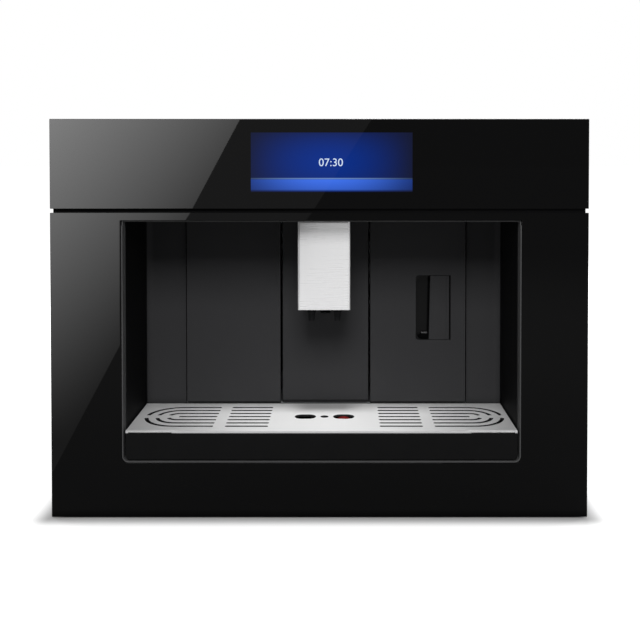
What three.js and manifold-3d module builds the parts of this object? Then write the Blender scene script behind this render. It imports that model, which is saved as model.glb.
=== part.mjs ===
// A built-in coffee machine with a black glass front, a cup niche, two niche drawers and telescopic runners.
// Millimetres, +Z up. The front faces -Y. The origin is the middle of the base, on the surface it stands on.

import * as THREE from 'three';
import { mergeVertices } from 'three/addons/utils/BufferGeometryUtils.js';
import Module from 'manifold-3d';

const wasm = await Module();
wasm.setup();

// ---------------------------------------------------------------- driving dimensions

// Gaps
const touchGap = 0.3;             // between pieces that rest on each other
const slideGap = 0.8;             // beside a piece that slides
const floorGap = 1.5;             // from the standing surface up to the front's lower edge

// Front: two glass panes on one plastic carrier
const frontWidth = 606;
const frontHeight = 450;
const controlPaneHeight = 101;
const paneGap = 4.5;
const glassThickness = 4;
const carrierInset = 2.5;         // from the glass edge in to the carrier's edge
const carrierDepth = 18;
const carrierWall = 3;
const ribWidth = 19;              // on the carrier's rear, bearing on the cabinet's front edges
const ribHeight = 0.8;

// Display
const displayWidth = 181.5;
const displayHeight = 66.7;
const displayThickness = 9;
const displayOffset = 13.8;       // to the right of the front's middle
const displayDrop = 15.3;         // from the front's top edge
const boardThickness = 1.6;
const boardInset = 6;
const chipSize = 22;
const chipHeight = 2;

// Niche opening and its trim
const openingWidth = 451.3;
const openingBottom = 61.5;       // above the front's lower edge
const openingHeadroom = 8.6;      // below the lower pane's top edge
const openingOffset = 2.3;        // to the right of the front's middle
const openingRadius = 7;
const trimWidth = 2;
const trimDepth = 12;

// Niche
const nicheDepth = 120;           // from the glass face to the back wall
const linerWall = 3;
const linerCornerRadius = 10;

// Chassis
const overallDepth = 412;         // from the glass face to the rear panel's outer face
const chassisWidth = 528;
const chassisBottom = 14.5;       // above the front's lower edge
const chassisDrop = 15.5;         // below the front's top edge
const sheet = 1.2;
const panRim = 20;

// Spout, with its middle line shared by the centre panel and the grille pattern
const outletOffset = 4.6;         // to the right of the front's middle
const spoutWidth = 61;
const spoutFront = 30;            // from the glass face
const spoutHeight = 103;
const spoutHeadroom = 1.1;        // below the niche's ceiling
const spoutRadius = 6;
const spoutWall = 1.5;
const spoutTravel = 45;
const nozzleSpacing = 30.7;
const nozzleDepth = 57;           // from the glass face
const nozzleRadius = 4.5;
const nozzleBore = 1.9;
const nozzleReach = 17;           // below the spout cover
const carriageWidth = 56;
const carriageDepth = 18;
const armHeight = 16;
const tongueWidth = 10;
const tongueHeight = 60;
const keeperWidth = 22;

// Drawer fronts in the niche's back wall
const centrePanelWidth = 109.6;
const groundsFrontWidth = 120.7;
const tankFrontWidth = 122.5;
const drawerHeadroom = 3.9;       // below the niche's ceiling
const drawerFrontThickness = 3;
const drawerProud = 5;            // in front of the niche's back wall
const seam = 0.8;                 // round each drawer front

// Drip tray
const trayHeight = 30;
const trayDepth = 245;
const trayWall = 2;
const fasciaThickness = 4;
const fasciaSetback = 1;          // behind the glass face
const trayShelfThickness = 1.5;
const shelfRibInset = 24;

// Cup grille
const grilleThickness = 2.5;
const grilleDepth = 113;
const slotWidth = 4.5;
const slotPitch = 12.7;
const slotChamfer = 1.4;
const innerSlotLength = 50;
const innerSlotStart = 64.2;      // from the spout's middle line
const outerSlotStart = 127.8;
const outerArcCentre = 173.5;
const arcBreak = 6.4;             // left between two arcs that face each other
const rowsEachSide = 3;
const drainLength = 25.4;
const drainWidth = 18;
const drainOffset = 22.9;
const roundHoleRadius = 4.8;

// Float
const floatRadius = 7.5;
const floatDrop = 1.5;            // below the grille's top
const floatGuideWall = 2;
const floatGuideHeight = 8;

// Grounds bin and water tank
const drawerShelfThickness = 1.2;
const binWidth = 108;
const binDepth = 182;
const binHeight = 100;
const binWall = 2;
const tankWidth = 108;
const tankDepth = 160;
const tankHeight = 152;
const tankWall = 2.5;
const tankLidThickness = 4;
const fillRadius = 22;
const couplingRadius = 11;
const couplingLength = 20;
const couplingHeight = 20;        // above the tank's floor

// Finger recess and grip plate of the tank front
const recessHeight = 81.4;
const recessWidth = 43.2;
const recessFromCentre = -2.3;    // left edge of the recess, from the middle of the tank front
const recessBottom = 79.9;        // above the lower edge of the tank front
const recessDepth = 18;
const recessRadius = 4;
const gripWidth = 24.7;
const gripThickness = 3;

// Bean hopper, grinder and grind knob
const hopperWidth = 120;
const hopperDepth = 170;
const hopperWall = 2.5;
const hopperShift = 5;            // of the hopper's middle to the left of the grinder's
const brewDepth = 240;            // from the glass face to the middle of hopper, grinder and brew group
const throatWidth = 44;
const grinderRadius = 42;
const grinderHeight = 56;
const grinderBore = 34;
const grinderFloor = 4;
const chuteWidth = 20;
const chuteLength = 16;
const burrRadius = 33;
const burrHeight = 14;
const burrBore = 20;
const coneTopRadius = 9;
const coneBaseRadius = 18.5;
const coneHeight = 20;
const grinderMotorRadius = 24;
const grinderMotorHeight = 62;
const knobRadius = 19;
const knobHeight = 11;
const knobGap = 9;                // from the hopper's edge to the knob
const stemRadius = 5;
const stemLength = 40;
const lidThickness = 3;
const lidOverlap = 4;

// Ground-coffee funnel
const funnelWidth = 24;
const funnelDepth = 60;
const funnelWall = 2;

// Brew group
const brewWidth = 72;
const brewLength = 120;
const brewHeight = 160;
const brewWall = 3;
const chamberRadius = 27;
const chamberBore = 22;
const chamberHeight = 62;
const chamberShift = -18;
const flangeThickness = 4;
const pistonHeight = 10;
const pistonRodRadius = 6;
const pistonClearance = 0.4;
const crossheadThickness = 8;
const crossheadLift = 16;
const spindleRadius = 5;
const spindleShift = 38;
const spindleGearRadius = 12;
const spindleGearHeight = 6;
const spindleGearTeeth = 12;
const brewMotorRadius = 15;
const brewMotorHeight = 44;

// Water circuit
const boilerRadius = 28;
const boilerHeight = 108;
const boilerDepth = 175;
const circuitGap = 42;            // from the tank front's edge to the middle of boiler and pump
const pumpRearRoom = 55.5;        // from the pump's end to the rear panel
const pumpCoil = 42;
const pumpBarrelRadius = 11;
const pumpBarrelLength = 110;
const meterRadius = 15;
const meterHeight = 16;
const hoseRadius = 3;
const hoseStraight = 10;          // along the fitting before a hose bends
const hoseSwing = 20;             // room that a hose's bend takes
const hoseRise = 38;              // of the brew hose above the brew frame

// Power
const inletWidth = 50;
const inletHeight = 26;
const inletDepth = 26;
const inletOffset = 150;
const inletRise = 40;             // above the chassis floor
const socketWidth = 18;
const socketDepth = 18;
const socketWall = 4;
const pinThickness = 2;
const pinHeight = 4;
const pinSpacing = 5;
const pinSetback = 4;             // behind the inlet's face
const earthPinRise = 6;           // above the two line pins
const rockerWidth = 12;
const rockerHeight = 19;
const rockerThickness = 5;
const rockerWellDepth = 14;
const rockerSetback = 2;          // behind the inlet's face
const rockerTilt = 8;             // degrees either side of level
const powerBoardWidth = 170;
const powerBoardOffset = 120;
const powerBoardHeight = 80;
const powerBoardDrop = 37;        // below the chassis top
const boardStandoff = 12;
const boardMargin = 6;
const transformerWidth = 40;
const transformerHeight = 36;
const transformerDepth = 28;
const heatSinkWidth = 50;
const heatSinkHeight = 18;
const heatSinkDepth = 20;
const ventCount = 7;
const ventWidth = 5;
const ventHeight = 46;
const ventPitch = 14;

// Service hatch in the left side panel
const hatchDepth = 130;
const hatchHeight = 160;
const hatchRise = 88;             // above the chassis floor

// Telescopic runners and the mounting base
const runnerLength = 345;
const runnerHeight = 36;
const runnerWall = 1.2;
const runnerThickness = 12;
const runnerRise = 6;             // above the mounting base's plate
const baseSheet = 1.6;
const baseFlange = 50;
const baseDepth = 374;
const baseSetback = 3;            // behind the chassis front, clear of the cabinet's edge

// ---------------------------------------------------------------- places worked out from them

const carrierRear = glassThickness + touchGap + carrierDepth;
const chassisFront = carrierRear + touchGap;
const chassisTop = frontHeight - chassisDrop;
const chassisFloor = chassisBottom + sheet;
const sideInner = chassisWidth / 2 - sheet;
const rearInner = overallDepth - sheet;

const frontEdge = frontWidth / 2;
const lowerPaneTop = frontHeight - controlPaneHeight - paneGap;
const openingLeft = openingOffset - openingWidth / 2;
const openingRight = openingOffset + openingWidth / 2;
const openingTop = lowerPaneTop - openingHeadroom;

const nicheLeft = openingLeft + touchGap + trimWidth;
const nicheRight = openingRight - touchGap - trimWidth;
const nicheFloor = openingBottom + touchGap + trimWidth;
const nicheCeiling = openingTop - touchGap - trimWidth;
const linerFront = trimDepth + touchGap;
const spoutBottom = nicheCeiling - spoutHeadroom - spoutHeight;

const trayBottom = nicheFloor + slideGap;
const trayTop = trayBottom + trayHeight;
const trayLeft = nicheLeft + 2 * slideGap;
const trayRight = nicheRight - 2 * slideGap;
const basinFront = fasciaSetback + fasciaThickness + touchGap;
const basinBack = basinFront + trayDepth;
const grilleBottom = trayTop + touchGap;
const grilleTop = grilleBottom + grilleThickness;
const grilleFront = fasciaSetback;
const grilleBack = grilleFront + grilleDepth;
const grilleAxis = (grilleFront + grilleBack) / 2;

const drawerShelfBottom = trayTop + slideGap;
const drawerShelfTop = drawerShelfBottom + drawerShelfThickness;
const drawerBottom = drawerShelfTop + slideGap;
const drawerTop = nicheCeiling - drawerHeadroom;
const drawerFrontHeight = drawerTop - drawerBottom;
const drawerFace = nicheDepth - drawerProud;
const drawerBack = drawerFace + drawerFrontThickness;
const centreLeft = outletOffset - centrePanelWidth / 2;
const centreRight = outletOffset + centrePanelWidth / 2;
const groundsMiddle = centreLeft - groundsFrontWidth / 2;
const tankMiddle = centreRight + tankFrontWidth / 2;
const windowLeft = centreLeft - groundsFrontWidth;
const windowRight = centreRight + tankFrontWidth;
const windowTop = drawerTop + seam;
const tankFront = drawerBack + recessDepth + touchGap;

const brewBottom = drawerShelfTop + touchGap;
const brewTop = brewBottom + brewHeight;
const grinderBottom = brewTop + chuteLength + touchGap;
const grinderTop = grinderBottom + grinderHeight;
const hopperBottom = grinderTop + touchGap;
const hopperHeight = chassisTop - sheet - touchGap - hopperBottom;
const pumpDepth = rearInner - pumpRearRoom - pumpBarrelLength / 2;
const brewOffset = (windowLeft - sideInner) / 2;
const grinderOffset = brewOffset + brewWidth / 2 + slideGap + grinderMotorRadius;
const hopperOffset = grinderOffset - hopperShift;
const knobOffset = hopperOffset + hopperWidth / 2 + knobGap + knobRadius;
const funnelOffset = brewOffset - brewWidth / 2 + funnelWidth / 2 - funnelWall;
const circuitOffset = windowRight + circuitGap;

// ---------------------------------------------------------------- shape helpers

function block([x0, x1], [y0, y1], [z0, z1]) {
  const geometry = new THREE.BoxGeometry(x1 - x0, y1 - y0, z1 - z0);
  return geometry.translate((x0 + x1) / 2, (y0 + y1) / 2, (z0 + z1) / 2);
}

function column(radius, [z0, z1], x = 0, y = 0, sides = 24, topRadius = radius) {
  const geometry = new THREE.CylinderGeometry(topRadius, radius, z1 - z0, sides);
  return geometry.rotateX(Math.PI / 2).translate(x, y, (z0 + z1) / 2);
}

function barrel(radius, [y0, y1], x, z, sides = 20) {
  return new THREE.CylinderGeometry(radius, radius, y1 - y0, sides).translate(x, (y0 + y1) / 2, z);
}

function tube(outer, inner, [z0, z1], sides = 24) {
  const corners = [[inner, z0], [outer, z0], [outer, z1], [inner, z1], [inner, z0]];
  const profile = corners.map(([radius, z]) => new THREE.Vector2(radius, z));
  return new THREE.LatheGeometry(profile, sides).rotateX(Math.PI / 2);
}

function roundedRectangle([x0, x1], [y0, y1], radii) {
  const [lowLeft, lowRight, highRight, highLeft] = radii;
  const shape = new THREE.Shape();
  const corner = (x, y, radius, start) => {
    if (radius > 0) shape.absarc(x, y, radius, start, start + Math.PI / 2, false);
    else shape.lineTo(x, y);
  };
  shape.moveTo(x0, y0 + lowLeft);
  corner(x0 + lowLeft, y0 + lowLeft, lowLeft, Math.PI);
  corner(x1 - lowRight, y0 + lowRight, lowRight, 1.5 * Math.PI);
  corner(x1 - highRight, y1 - highRight, highRight, 0);
  corner(x0 + highLeft, y1 - highLeft, highLeft, Math.PI / 2);
  return shape;
}

function polygon(points) {
  return new THREE.Shape(points.map(([x, y]) => new THREE.Vector2(x, y)));
}

// A shape drawn in plan, raised along Z.
function raised(shape, [z0, z1], curveSegments = 3) {
  const geometry = new THREE.ExtrudeGeometry(shape, { depth: z1 - z0, bevelEnabled: false, curveSegments });
  return geometry.translate(0, 0, z0);
}

// A shape drawn in front view, carried back along Y.
function carriedBack(shape, [y0, y1], curveSegments = 3) {
  const geometry = new THREE.ExtrudeGeometry(shape, { depth: y1 - y0, bevelEnabled: false, curveSegments });
  return geometry.rotateX(Math.PI / 2).translate(0, y1, 0);
}

// A box whose floor is smaller than its mouth, as a hopper is.
function taperedBlock(width, depth, floorWidth, floorDepth, [z0, z1]) {
  const geometry = new THREE.BoxGeometry(width, depth, z1 - z0);
  const position = geometry.attributes.position;
  for (let i = 0; i < position.count; i += 1) {
    if (position.getZ(i) < 0) {
      position.setX(i, Math.sign(position.getX(i)) * floorWidth / 2);
      position.setY(i, Math.sign(position.getY(i)) * floorDepth / 2);
    }
  }
  return geometry.translate(0, 0, (z0 + z1) / 2);
}

function hose(points, radius = hoseRadius) {
  const path = new THREE.CatmullRomCurve3(points.map((point) => new THREE.Vector3(...point)), false, 'centripetal');
  const section = polygon(Array.from({ length: 8 }, (_, i) => {
    const angle = (i / 8) * 2 * Math.PI;
    return [radius * Math.cos(angle), radius * Math.sin(angle)];
  }));
  return new THREE.ExtrudeGeometry(section, { steps: 6 * (points.length - 1), extrudePath: path, bevelEnabled: false });
}

function toSolid(geometry) {
  const bare = geometry.clone();
  bare.deleteAttribute('normal');
  bare.deleteAttribute('uv');
  const merged = mergeVertices(bare, 1e-4);
  return new wasm.Manifold(new wasm.Mesh({
    numProp: 3,
    vertProperties: Float32Array.from(merged.attributes.position.array),
    triVerts: Uint32Array.from(merged.index.array),
  }));
}

function toGeometry(solid) {
  const mesh = solid.getMesh();
  const geometry = new THREE.BufferGeometry();
  geometry.setAttribute('position', new THREE.BufferAttribute(mesh.vertProperties, 3));
  geometry.setIndex(new THREE.BufferAttribute(mesh.triVerts, 1));
  geometry.computeVertexNormals();
  return geometry;
}

function joined(...geometries) {
  return toGeometry(geometries.map(toSolid).reduce((whole, piece) => whole.add(piece)));
}

function cut(geometry, ...tools) {
  return toGeometry(tools.map(toSolid).reduce((whole, tool) => whole.subtract(tool), toSolid(geometry)));
}

function group(parent, x = 0, y = 0, z = 0) {
  const inner = new THREE.Group();
  inner.position.set(x, y, z);
  parent.add(inner);
  return inner;
}

function piece(parent, name, geometry, material, x = 0, y = 0, z = 0) {
  const mesh = new THREE.Mesh(geometry, material);
  mesh.name = name;
  mesh.position.set(x, y, z);
  parent.add(mesh);
  return mesh;
}

// ---------------------------------------------------------------- materials

function material(color, roughness, metalness = 0) {
  return new THREE.MeshStandardMaterial({ color, roughness, metalness });
}

const blackGlass = () => material(0x08080a, 0.05);
const charcoal = () => material(0x2b2b2d, 0.5);
const glossBlack = () => material(0x0c0c0d, 0.12);
const stainless = () => material(0xb9bbbd, 0.3, 1);
const galvanised = () => material(0x9aa0a3, 0.45, 0.9);
const darkPlastic = () => material(0x1a1a1b, 0.6);
const clearPlastic = () => material(0x9fb4bd, 0.15);
const floatRed = () => material(0xb3201c, 0.4);
const screenBlue = () => material(0x123a8c, 0.3);
const boardGreen = () => material(0x1f5b36, 0.6);
const aluminium = () => material(0xaeb1b4, 0.4, 0.9);
const rubberGrey = () => material(0x55585a, 0.8);

// ---------------------------------------------------------------- front

function addFront(machine) {
  const paneBack = glassThickness;
  piece(machine, 'control_glass',
    block([-frontEdge, frontEdge], [0, paneBack], [frontHeight - controlPaneHeight, frontHeight]), blackGlass());

  const lowerPane = roundedRectangle([-frontEdge, frontEdge], [0, lowerPaneTop], [0, 0, 0, 0]);
  lowerPane.holes.push(roundedRectangle([openingLeft, openingRight], [openingBottom, openingTop],
    [openingRadius, openingRadius, 0, 0]));
  piece(machine, 'surround_glass', carriedBack(lowerPane, [0, paneBack]), blackGlass());

  const trim = roundedRectangle([openingLeft + touchGap, openingRight - touchGap],
    [openingBottom + touchGap, openingTop - touchGap], [openingRadius, openingRadius, 0, 0]);
  const innerRadius = openingRadius - trimWidth;
  trim.holes.push(roundedRectangle([nicheLeft, nicheRight], [nicheFloor, nicheCeiling],
    [innerRadius, innerRadius, 0, 0]));
  piece(machine, 'opening_trim', carriedBack(trim, [0, trimDepth]), stainless());

  addCarrier(machine);
  addDisplay(machine);
}

function addCarrier(machine) {
  const front = glassThickness + touchGap;
  const edge = frontEdge - carrierInset;
  const low = carrierInset;
  const high = frontHeight - carrierInset;
  const behindPlate = [front + carrierWall, carrierRear + carrierWall];
  const outside = block([-edge, edge], [front, carrierRear], [low, high]);

  const innerPocket = block([-sideInner, sideInner], behindPlate, [chassisFloor, chassisTop - sheet]);

  const windowX = [nicheLeft - linerWall - touchGap, nicheRight + linerWall + touchGap];
  const windowZ = [nicheFloor - trimWidth - touchGap, nicheCeiling + linerWall + touchGap];
  const windowFrame = block([windowX[0] - carrierWall, windowX[1] + carrierWall],
    [front, carrierRear + 2 * carrierWall], [windowZ[0] - carrierWall, windowZ[1] + carrierWall]);
  const window = block(windowX, [front - carrierWall, carrierRear + carrierWall], windowZ);

  const displayMiddle = frontHeight - displayDrop - displayHeight / 2;
  const halfWidth = displayWidth / 2 + touchGap;
  const halfHeight = displayHeight / 2 + touchGap;
  const displayHole = block([displayOffset - halfWidth, displayOffset + halfWidth],
    [front - carrierWall, front + displayThickness + touchGap],
    [displayMiddle - halfHeight, displayMiddle + halfHeight]);

  const ribY = [carrierRear - carrierWall, carrierRear + ribHeight];
  const leftRib = block([-edge, ribWidth - edge], ribY, [low, high]);
  const rightRib = block([edge - ribWidth, edge], ribY, [low, high]);

  piece(machine, 'front_carrier',
    joined(cut(outside, cut(innerPocket, windowFrame), window, displayHole), leftRib, rightRib), darkPlastic());
}

function addDisplay(machine) {
  const front = glassThickness + touchGap;
  const back = front + displayThickness;
  const middle = frontHeight - displayDrop - displayHeight / 2;
  const halfWidth = displayWidth / 2;
  const halfHeight = displayHeight / 2;
  piece(machine, 'display_module', block([-halfWidth, halfWidth], [0, displayThickness], [-halfHeight, halfHeight]),
    screenBlue(), displayOffset, front, middle);

  const boardHalf = halfHeight - boardInset;
  const board = block([-halfWidth, halfWidth], [0, boardThickness], [-boardHalf, boardHalf]);
  const processor = block([-2 * chipSize, -chipSize], [boardThickness / 2, boardThickness + chipHeight],
    [-chipSize / 2, chipSize / 2]);
  const connector = block([2 * chipSize, 3 * chipSize], [boardThickness / 2, boardThickness + 2 * chipHeight],
    [-chipSize, -chipSize / 2]);
  piece(machine, 'control_board', joined(board, processor, connector), boardGreen(),
    displayOffset, back + touchGap, middle);
}

// ---------------------------------------------------------------- niche

function addNiche(machine) {
  const back = nicheDepth + linerWall;
  const outside = block([nicheLeft - linerWall, nicheRight + linerWall], [linerFront, back],
    [nicheFloor + touchGap, nicheCeiling + linerWall]);
  const inside = raised(
    roundedRectangle([nicheLeft, nicheRight], [0, nicheDepth], [0, 0, linerCornerRadius, linerCornerRadius]),
    [0, nicheCeiling], 4);
  const drawerWindow = block([windowLeft, windowRight], [nicheDepth - linerWall, back + linerWall], [0, windowTop]);
  const trayWay = block([nicheLeft, nicheRight], [nicheDepth - linerCornerRadius, back + linerWall],
    [0, drawerShelfBottom]);
  piece(machine, 'niche_liner', cut(outside, inside, drawerWindow, trayWay), charcoal());

  const flange = 24;
  const half = centrePanelWidth / 2;
  const panelHeight = windowTop - touchGap - drawerShelfTop - touchGap;
  const channel = cut(
    block([-half, half], [0, flange], [0, panelHeight]),
    block([-half + linerWall, half - linerWall], [linerWall, flange + linerWall], [-linerWall, panelHeight + linerWall]));
  const slotHalf = tongueWidth / 2 + slideGap;
  const tongueTop = spoutBottom + spoutHeight - armHeight;
  const slotTop = tongueTop + slideGap - drawerShelfTop - touchGap;
  const slotBottom = slotTop - tongueHeight - spoutTravel - 2 * slideGap;
  const slot = block([-slotHalf, slotHalf], [-linerWall, 2 * linerWall], [slotBottom, slotTop]);
  piece(machine, 'centre_panel', cut(channel, slot), charcoal(),
    outletOffset, nicheDepth, drawerShelfTop + touchGap);
}

function addShelves(machine) {
  const left = nicheLeft - linerWall;
  const right = nicheRight + linerWall;
  const top = nicheFloor;
  const bottom = top - trayShelfThickness;
  const plate = block([left, right], [linerFront, basinBack + touchGap], [bottom, top]);
  const ribs = [left + shelfRibInset, right - shelfRibInset].map((x) =>
    block([x - sheet, x + sheet], [chassisFront + sheet + touchGap, basinBack], [chassisFloor + touchGap, top - touchGap]));
  piece(machine, 'tray_shelf', joined(plate, ...ribs), galvanised());

  const shelfFront = nicheDepth + linerWall + touchGap;
  const shelf = block([-sideInner + touchGap, sideInner - touchGap], [shelfFront, rearInner - touchGap],
    [drawerShelfBottom, drawerShelfTop]);
  const guideTop = drawerShelfTop + panRim;
  const guideFront = nicheDepth + 30;
  const guides = [groundsMiddle - binWidth / 2, groundsMiddle + binWidth / 2,
    tankMiddle - tankWidth / 2, tankMiddle + tankWidth / 2].map((x, i) => {
    const outward = i % 2 === 0 ? -1 : 1;
    const near = x + outward * slideGap;
    const far = near + outward * sheet;
    return block([Math.min(near, far), Math.max(near, far)], [guideFront, guideFront + tankDepth],
      [drawerShelfBottom, guideTop]);
  });
  piece(machine, 'drawer_shelf', joined(shelf, ...guides), galvanised());
}

// ---------------------------------------------------------------- drip tray

function addDripTray(machine) {
  const lowerCorner = openingRadius - trimWidth;
  const section = roundedRectangle([trayLeft, trayRight], [trayBottom, trayTop], [lowerCorner, lowerCorner, 0, 0]);
  piece(machine, 'tray_fascia', carriedBack(section, [fasciaSetback, fasciaSetback + fasciaThickness]), glossBlack());

  const floor = trayBottom + trayWall;
  const sideWall = trayWall + lowerCorner / 3;
  const grilleRest = grilleBack - trayWall;
  const tub = cut(
    carriedBack(section, [basinFront, basinBack]),
    block([trayLeft + sideWall, trayRight - sideWall], [basinFront + trayWall, grilleRest - trayWall],
      [floor, trayTop + trayWall]),
    block([trayLeft + sideWall, trayRight - sideWall], [grilleRest, basinBack - trayWall],
      [floor, trayTop + trayWall]));
  const guide = tube(floatRadius + slideGap + floatGuideWall, floatRadius + slideGap,
    [floor - trayWall / 2, floor + floatGuideHeight], 16).translate(outletOffset + drainOffset, grilleAxis, 0);
  piece(machine, 'drip_basin', joined(tub, guide), darkPlastic());

  piece(machine, 'tray_float', column(floatRadius, [0, grilleTop - floatDrop - floor - touchGap], 0, 0, 16),
    floatRed(), outletOffset + drainOffset, grilleAxis, floor + touchGap);

  piece(machine, 'cup_grille', grillePlate(), stainless(),
    outletOffset, grilleAxis, grilleBottom);
}

// The grille about its own middle: straight slots, then slots that bend round at each end.
function grillePlate() {
  const holes = [roundHole()];
  for (const side of [-1, 1]) {
    for (let row = -rowsEachSide; row <= rowsEachSide; row += 1) {
      holes.push(straightSlot(side, innerSlotStart, innerSlotStart + innerSlotLength, row * slotPitch));
      if (row === 0) holes.push(straightSlot(side, outerSlotStart, outerArcCentre, 0));
      else holes.push(bentSlot(side, row));
    }
    holes.push(ovalHole(side * drainOffset));
  }
  const plate = block([trayLeft - outletOffset, trayRight - outletOffset], [-grilleDepth / 2, grilleDepth / 2],
    [0, grilleThickness]);
  return cut(plate, ...holes.map((hole) => raised(hole, [-grilleThickness, 2 * grilleThickness])));
}

function straightSlot(side, from, to, y) {
  const half = slotWidth / 2;
  const corner = slotChamfer;
  return polygon([[from + corner, y - half], [to - corner, y - half], [to, y - half + corner],
    [to, y + half - corner], [to - corner, y + half], [from + corner, y + half],
    [from, y + half - corner], [from, y - half + corner]].map(([x, v]) => [side * x, v]));
}

function bentSlot(side, row) {
  const way = Math.sign(row);
  const radius = Math.abs(row) * slotPitch;
  const half = slotWidth / 2;
  const steps = 5;
  const end = Math.asin(arcBreak / 2 / (radius - half));
  const arc = (r) => Array.from({ length: steps + 1 }, (_, i) => {
    const angle = Math.PI / 2 + (end - Math.PI / 2) * (i / steps);
    return [outerArcCentre + r * Math.cos(angle), way * r * Math.sin(angle)];
  });
  const outer = arc(radius + half);
  const inner = arc(radius - half).reverse();
  const start = [[outerSlotStart, way * (radius - half)], [outerSlotStart, way * (radius + half)]];
  return polygon([...start, ...outer, ...inner].map(([x, y]) => [side * x, y]));
}

function ovalHole(x) {
  const straight = (drainLength - drainWidth) / 2;
  const radius = drainWidth / 2;
  const points = [];
  for (const [middle, start] of [[straight, -Math.PI / 2], [-straight, Math.PI / 2]]) {
    for (let i = 0; i <= 6; i += 1) {
      const angle = start + (i / 6) * Math.PI;
      points.push([x + middle + radius * Math.cos(angle), radius * Math.sin(angle)]);
    }
  }
  return polygon(points);
}

function roundHole() {
  return polygon(Array.from({ length: 10 }, (_, i) => {
    const angle = (i / 10) * 2 * Math.PI;
    return [roundHoleRadius * Math.cos(angle), roundHoleRadius * Math.sin(angle)];
  }));
}

// ---------------------------------------------------------------- spout

function addSpout(machine) {
  const spout = group(machine, outletOffset, 0, spoutBottom);
  const half = spoutWidth / 2;
  const back = nicheDepth - 2 * touchGap - slideGap;
  const carriageBack = back;
  const outer = raised(
    roundedRectangle([-half, half], [spoutFront, back], [spoutRadius, spoutRadius, 0, 0]), [0, spoutHeight], 4);
  const innerRadius = spoutRadius - spoutWall;
  const inner = raised(
    roundedRectangle([-half + spoutWall, half - spoutWall], [spoutFront + spoutWall, back + spoutWall],
      [innerRadius, innerRadius, 0, 0]), [-spoutWall, spoutHeight - spoutWall], 4);
  piece(spout, 'spout_cover', cut(outer, inner), stainless());

  const armBottom = 6;
  const armTop = armBottom + armHeight;
  const carriageTop = spoutHeight - spoutWall - touchGap;
  const carriageHalf = carriageWidth / 2;
  const tongueTop = spoutHeight - armHeight;
  const plateBack = nicheDepth + linerWall;
  const stand = block([-carriageHalf, carriageHalf], [carriageBack - carriageDepth, carriageBack],
    [armBottom, carriageTop]);
  const arm = block([-carriageHalf, carriageHalf], [spoutFront + 2 * spoutRadius, carriageBack - carriageDepth / 2],
    [armBottom, armTop]);
  const tongue = block([-tongueWidth / 2, tongueWidth / 2], [carriageBack - touchGap, plateBack + 2 * slideGap],
    [tongueTop - tongueHeight, tongueTop]);
  const keeper = block([-keeperWidth / 2, keeperWidth / 2],
    [plateBack + slideGap, plateBack + slideGap + linerWall], [tongueTop - tongueHeight, tongueTop]);
  piece(spout, 'spout_carriage', joined(stand, arm, tongue, keeper), darkPlastic());

  for (const [name, side] of [['spout_nozzle_left', -1], ['spout_nozzle_right', 1]]) {
    piece(spout, name, tube(nozzleRadius, nozzleBore, [-nozzleReach, armBottom - touchGap], 16), darkPlastic(),
      side * nozzleSpacing / 2, nozzleDepth, 0);
  }
}

// ---------------------------------------------------------------- drawers

function addGroundsDrawer(machine) {
  const drawer = group(machine, groundsMiddle, drawerFace, drawerBottom);
  const half = groundsFrontWidth / 2 - seam;
  piece(drawer, 'grounds_cover', block([-half, half], [0, drawerFrontThickness], [0, drawerFrontHeight]), charcoal());

  const binHalf = binWidth / 2;
  const front = drawerFrontThickness + touchGap;
  piece(drawer, 'grounds_bin', cut(
    block([-binHalf, binHalf], [front, front + binDepth], [0, binHeight]),
    block([-binHalf + binWall, binHalf - binWall], [front + binWall, front + binDepth - binWall],
      [binWall, binHeight + binWall])), darkPlastic());
}

function addTankDrawer(machine) {
  const drawer = group(machine, tankMiddle, drawerFace, drawerBottom);
  const half = tankFrontWidth / 2 - seam;
  const recessX = [recessFromCentre, recessFromCentre + recessWidth];
  const recessZ = [recessBottom, recessBottom + recessHeight];
  const wall = drawerFrontThickness;
  const panel = block([-half, half], [0, drawerFrontThickness], [0, drawerFrontHeight]);
  const pocketOutside = block([recessX[0] - wall, recessX[1] + wall],
    [drawerFrontThickness / 2, drawerFrontThickness + recessDepth], [recessZ[0] - wall, recessZ[1] + wall]);
  const pocketInside = carriedBack(roundedRectangle(recessX, recessZ, [recessRadius, 0, 0, recessRadius]),
    [-wall, drawerFrontThickness + recessDepth - wall]);
  piece(drawer, 'tank_cover', cut(joined(panel, pocketOutside), pocketInside), charcoal());

  const gripRight = recessX[1] - slideGap;
  const gripHeight = recessHeight - 2 * slideGap;
  const gripThick = gripThickness;
  piece(drawer, 'tank_handle', block([-gripWidth, 0], [0, gripThick], [0, gripHeight]), charcoal(),
    gripRight, -gripThick / 3, recessZ[0] + slideGap);

  const tankHalf = tankWidth / 2;
  const front = tankFront - drawerFace;
  const rear = front + tankDepth;
  piece(drawer, 'water_tank', cut(
    block([-tankHalf, tankHalf], [front, rear], [0, tankHeight]),
    block([-tankHalf + tankWall, tankHalf - tankWall], [front + tankWall, rear - tankWall],
      [tankWall, tankHeight + tankWall]),
    barrel(couplingRadius / 2, [rear - 2 * tankWall, rear + tankWall], 0, couplingHeight, 12)), clearPlastic());
  piece(drawer, 'tank_lid', cut(
    block([-tankHalf, tankHalf], [front, rear], [0, tankLidThickness]),
    column(fillRadius, [-tankLidThickness, 2 * tankLidThickness], 0, (front + rear) / 2, 20)), darkPlastic(),
    0, 0, tankHeight + touchGap);

  piece(machine, 'tank_coupling', joined(
    barrel(couplingRadius, [0, couplingLength], 0, 0, 16),
    block([-couplingRadius, couplingRadius], [couplingLength / 2, couplingLength],
      [drawerShelfTop + touchGap - drawerBottom - couplingHeight, 0])), darkPlastic(),
    tankMiddle, tankFront + tankDepth + touchGap, drawerBottom + couplingHeight);
}

// ---------------------------------------------------------------- beans and grinder

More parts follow.
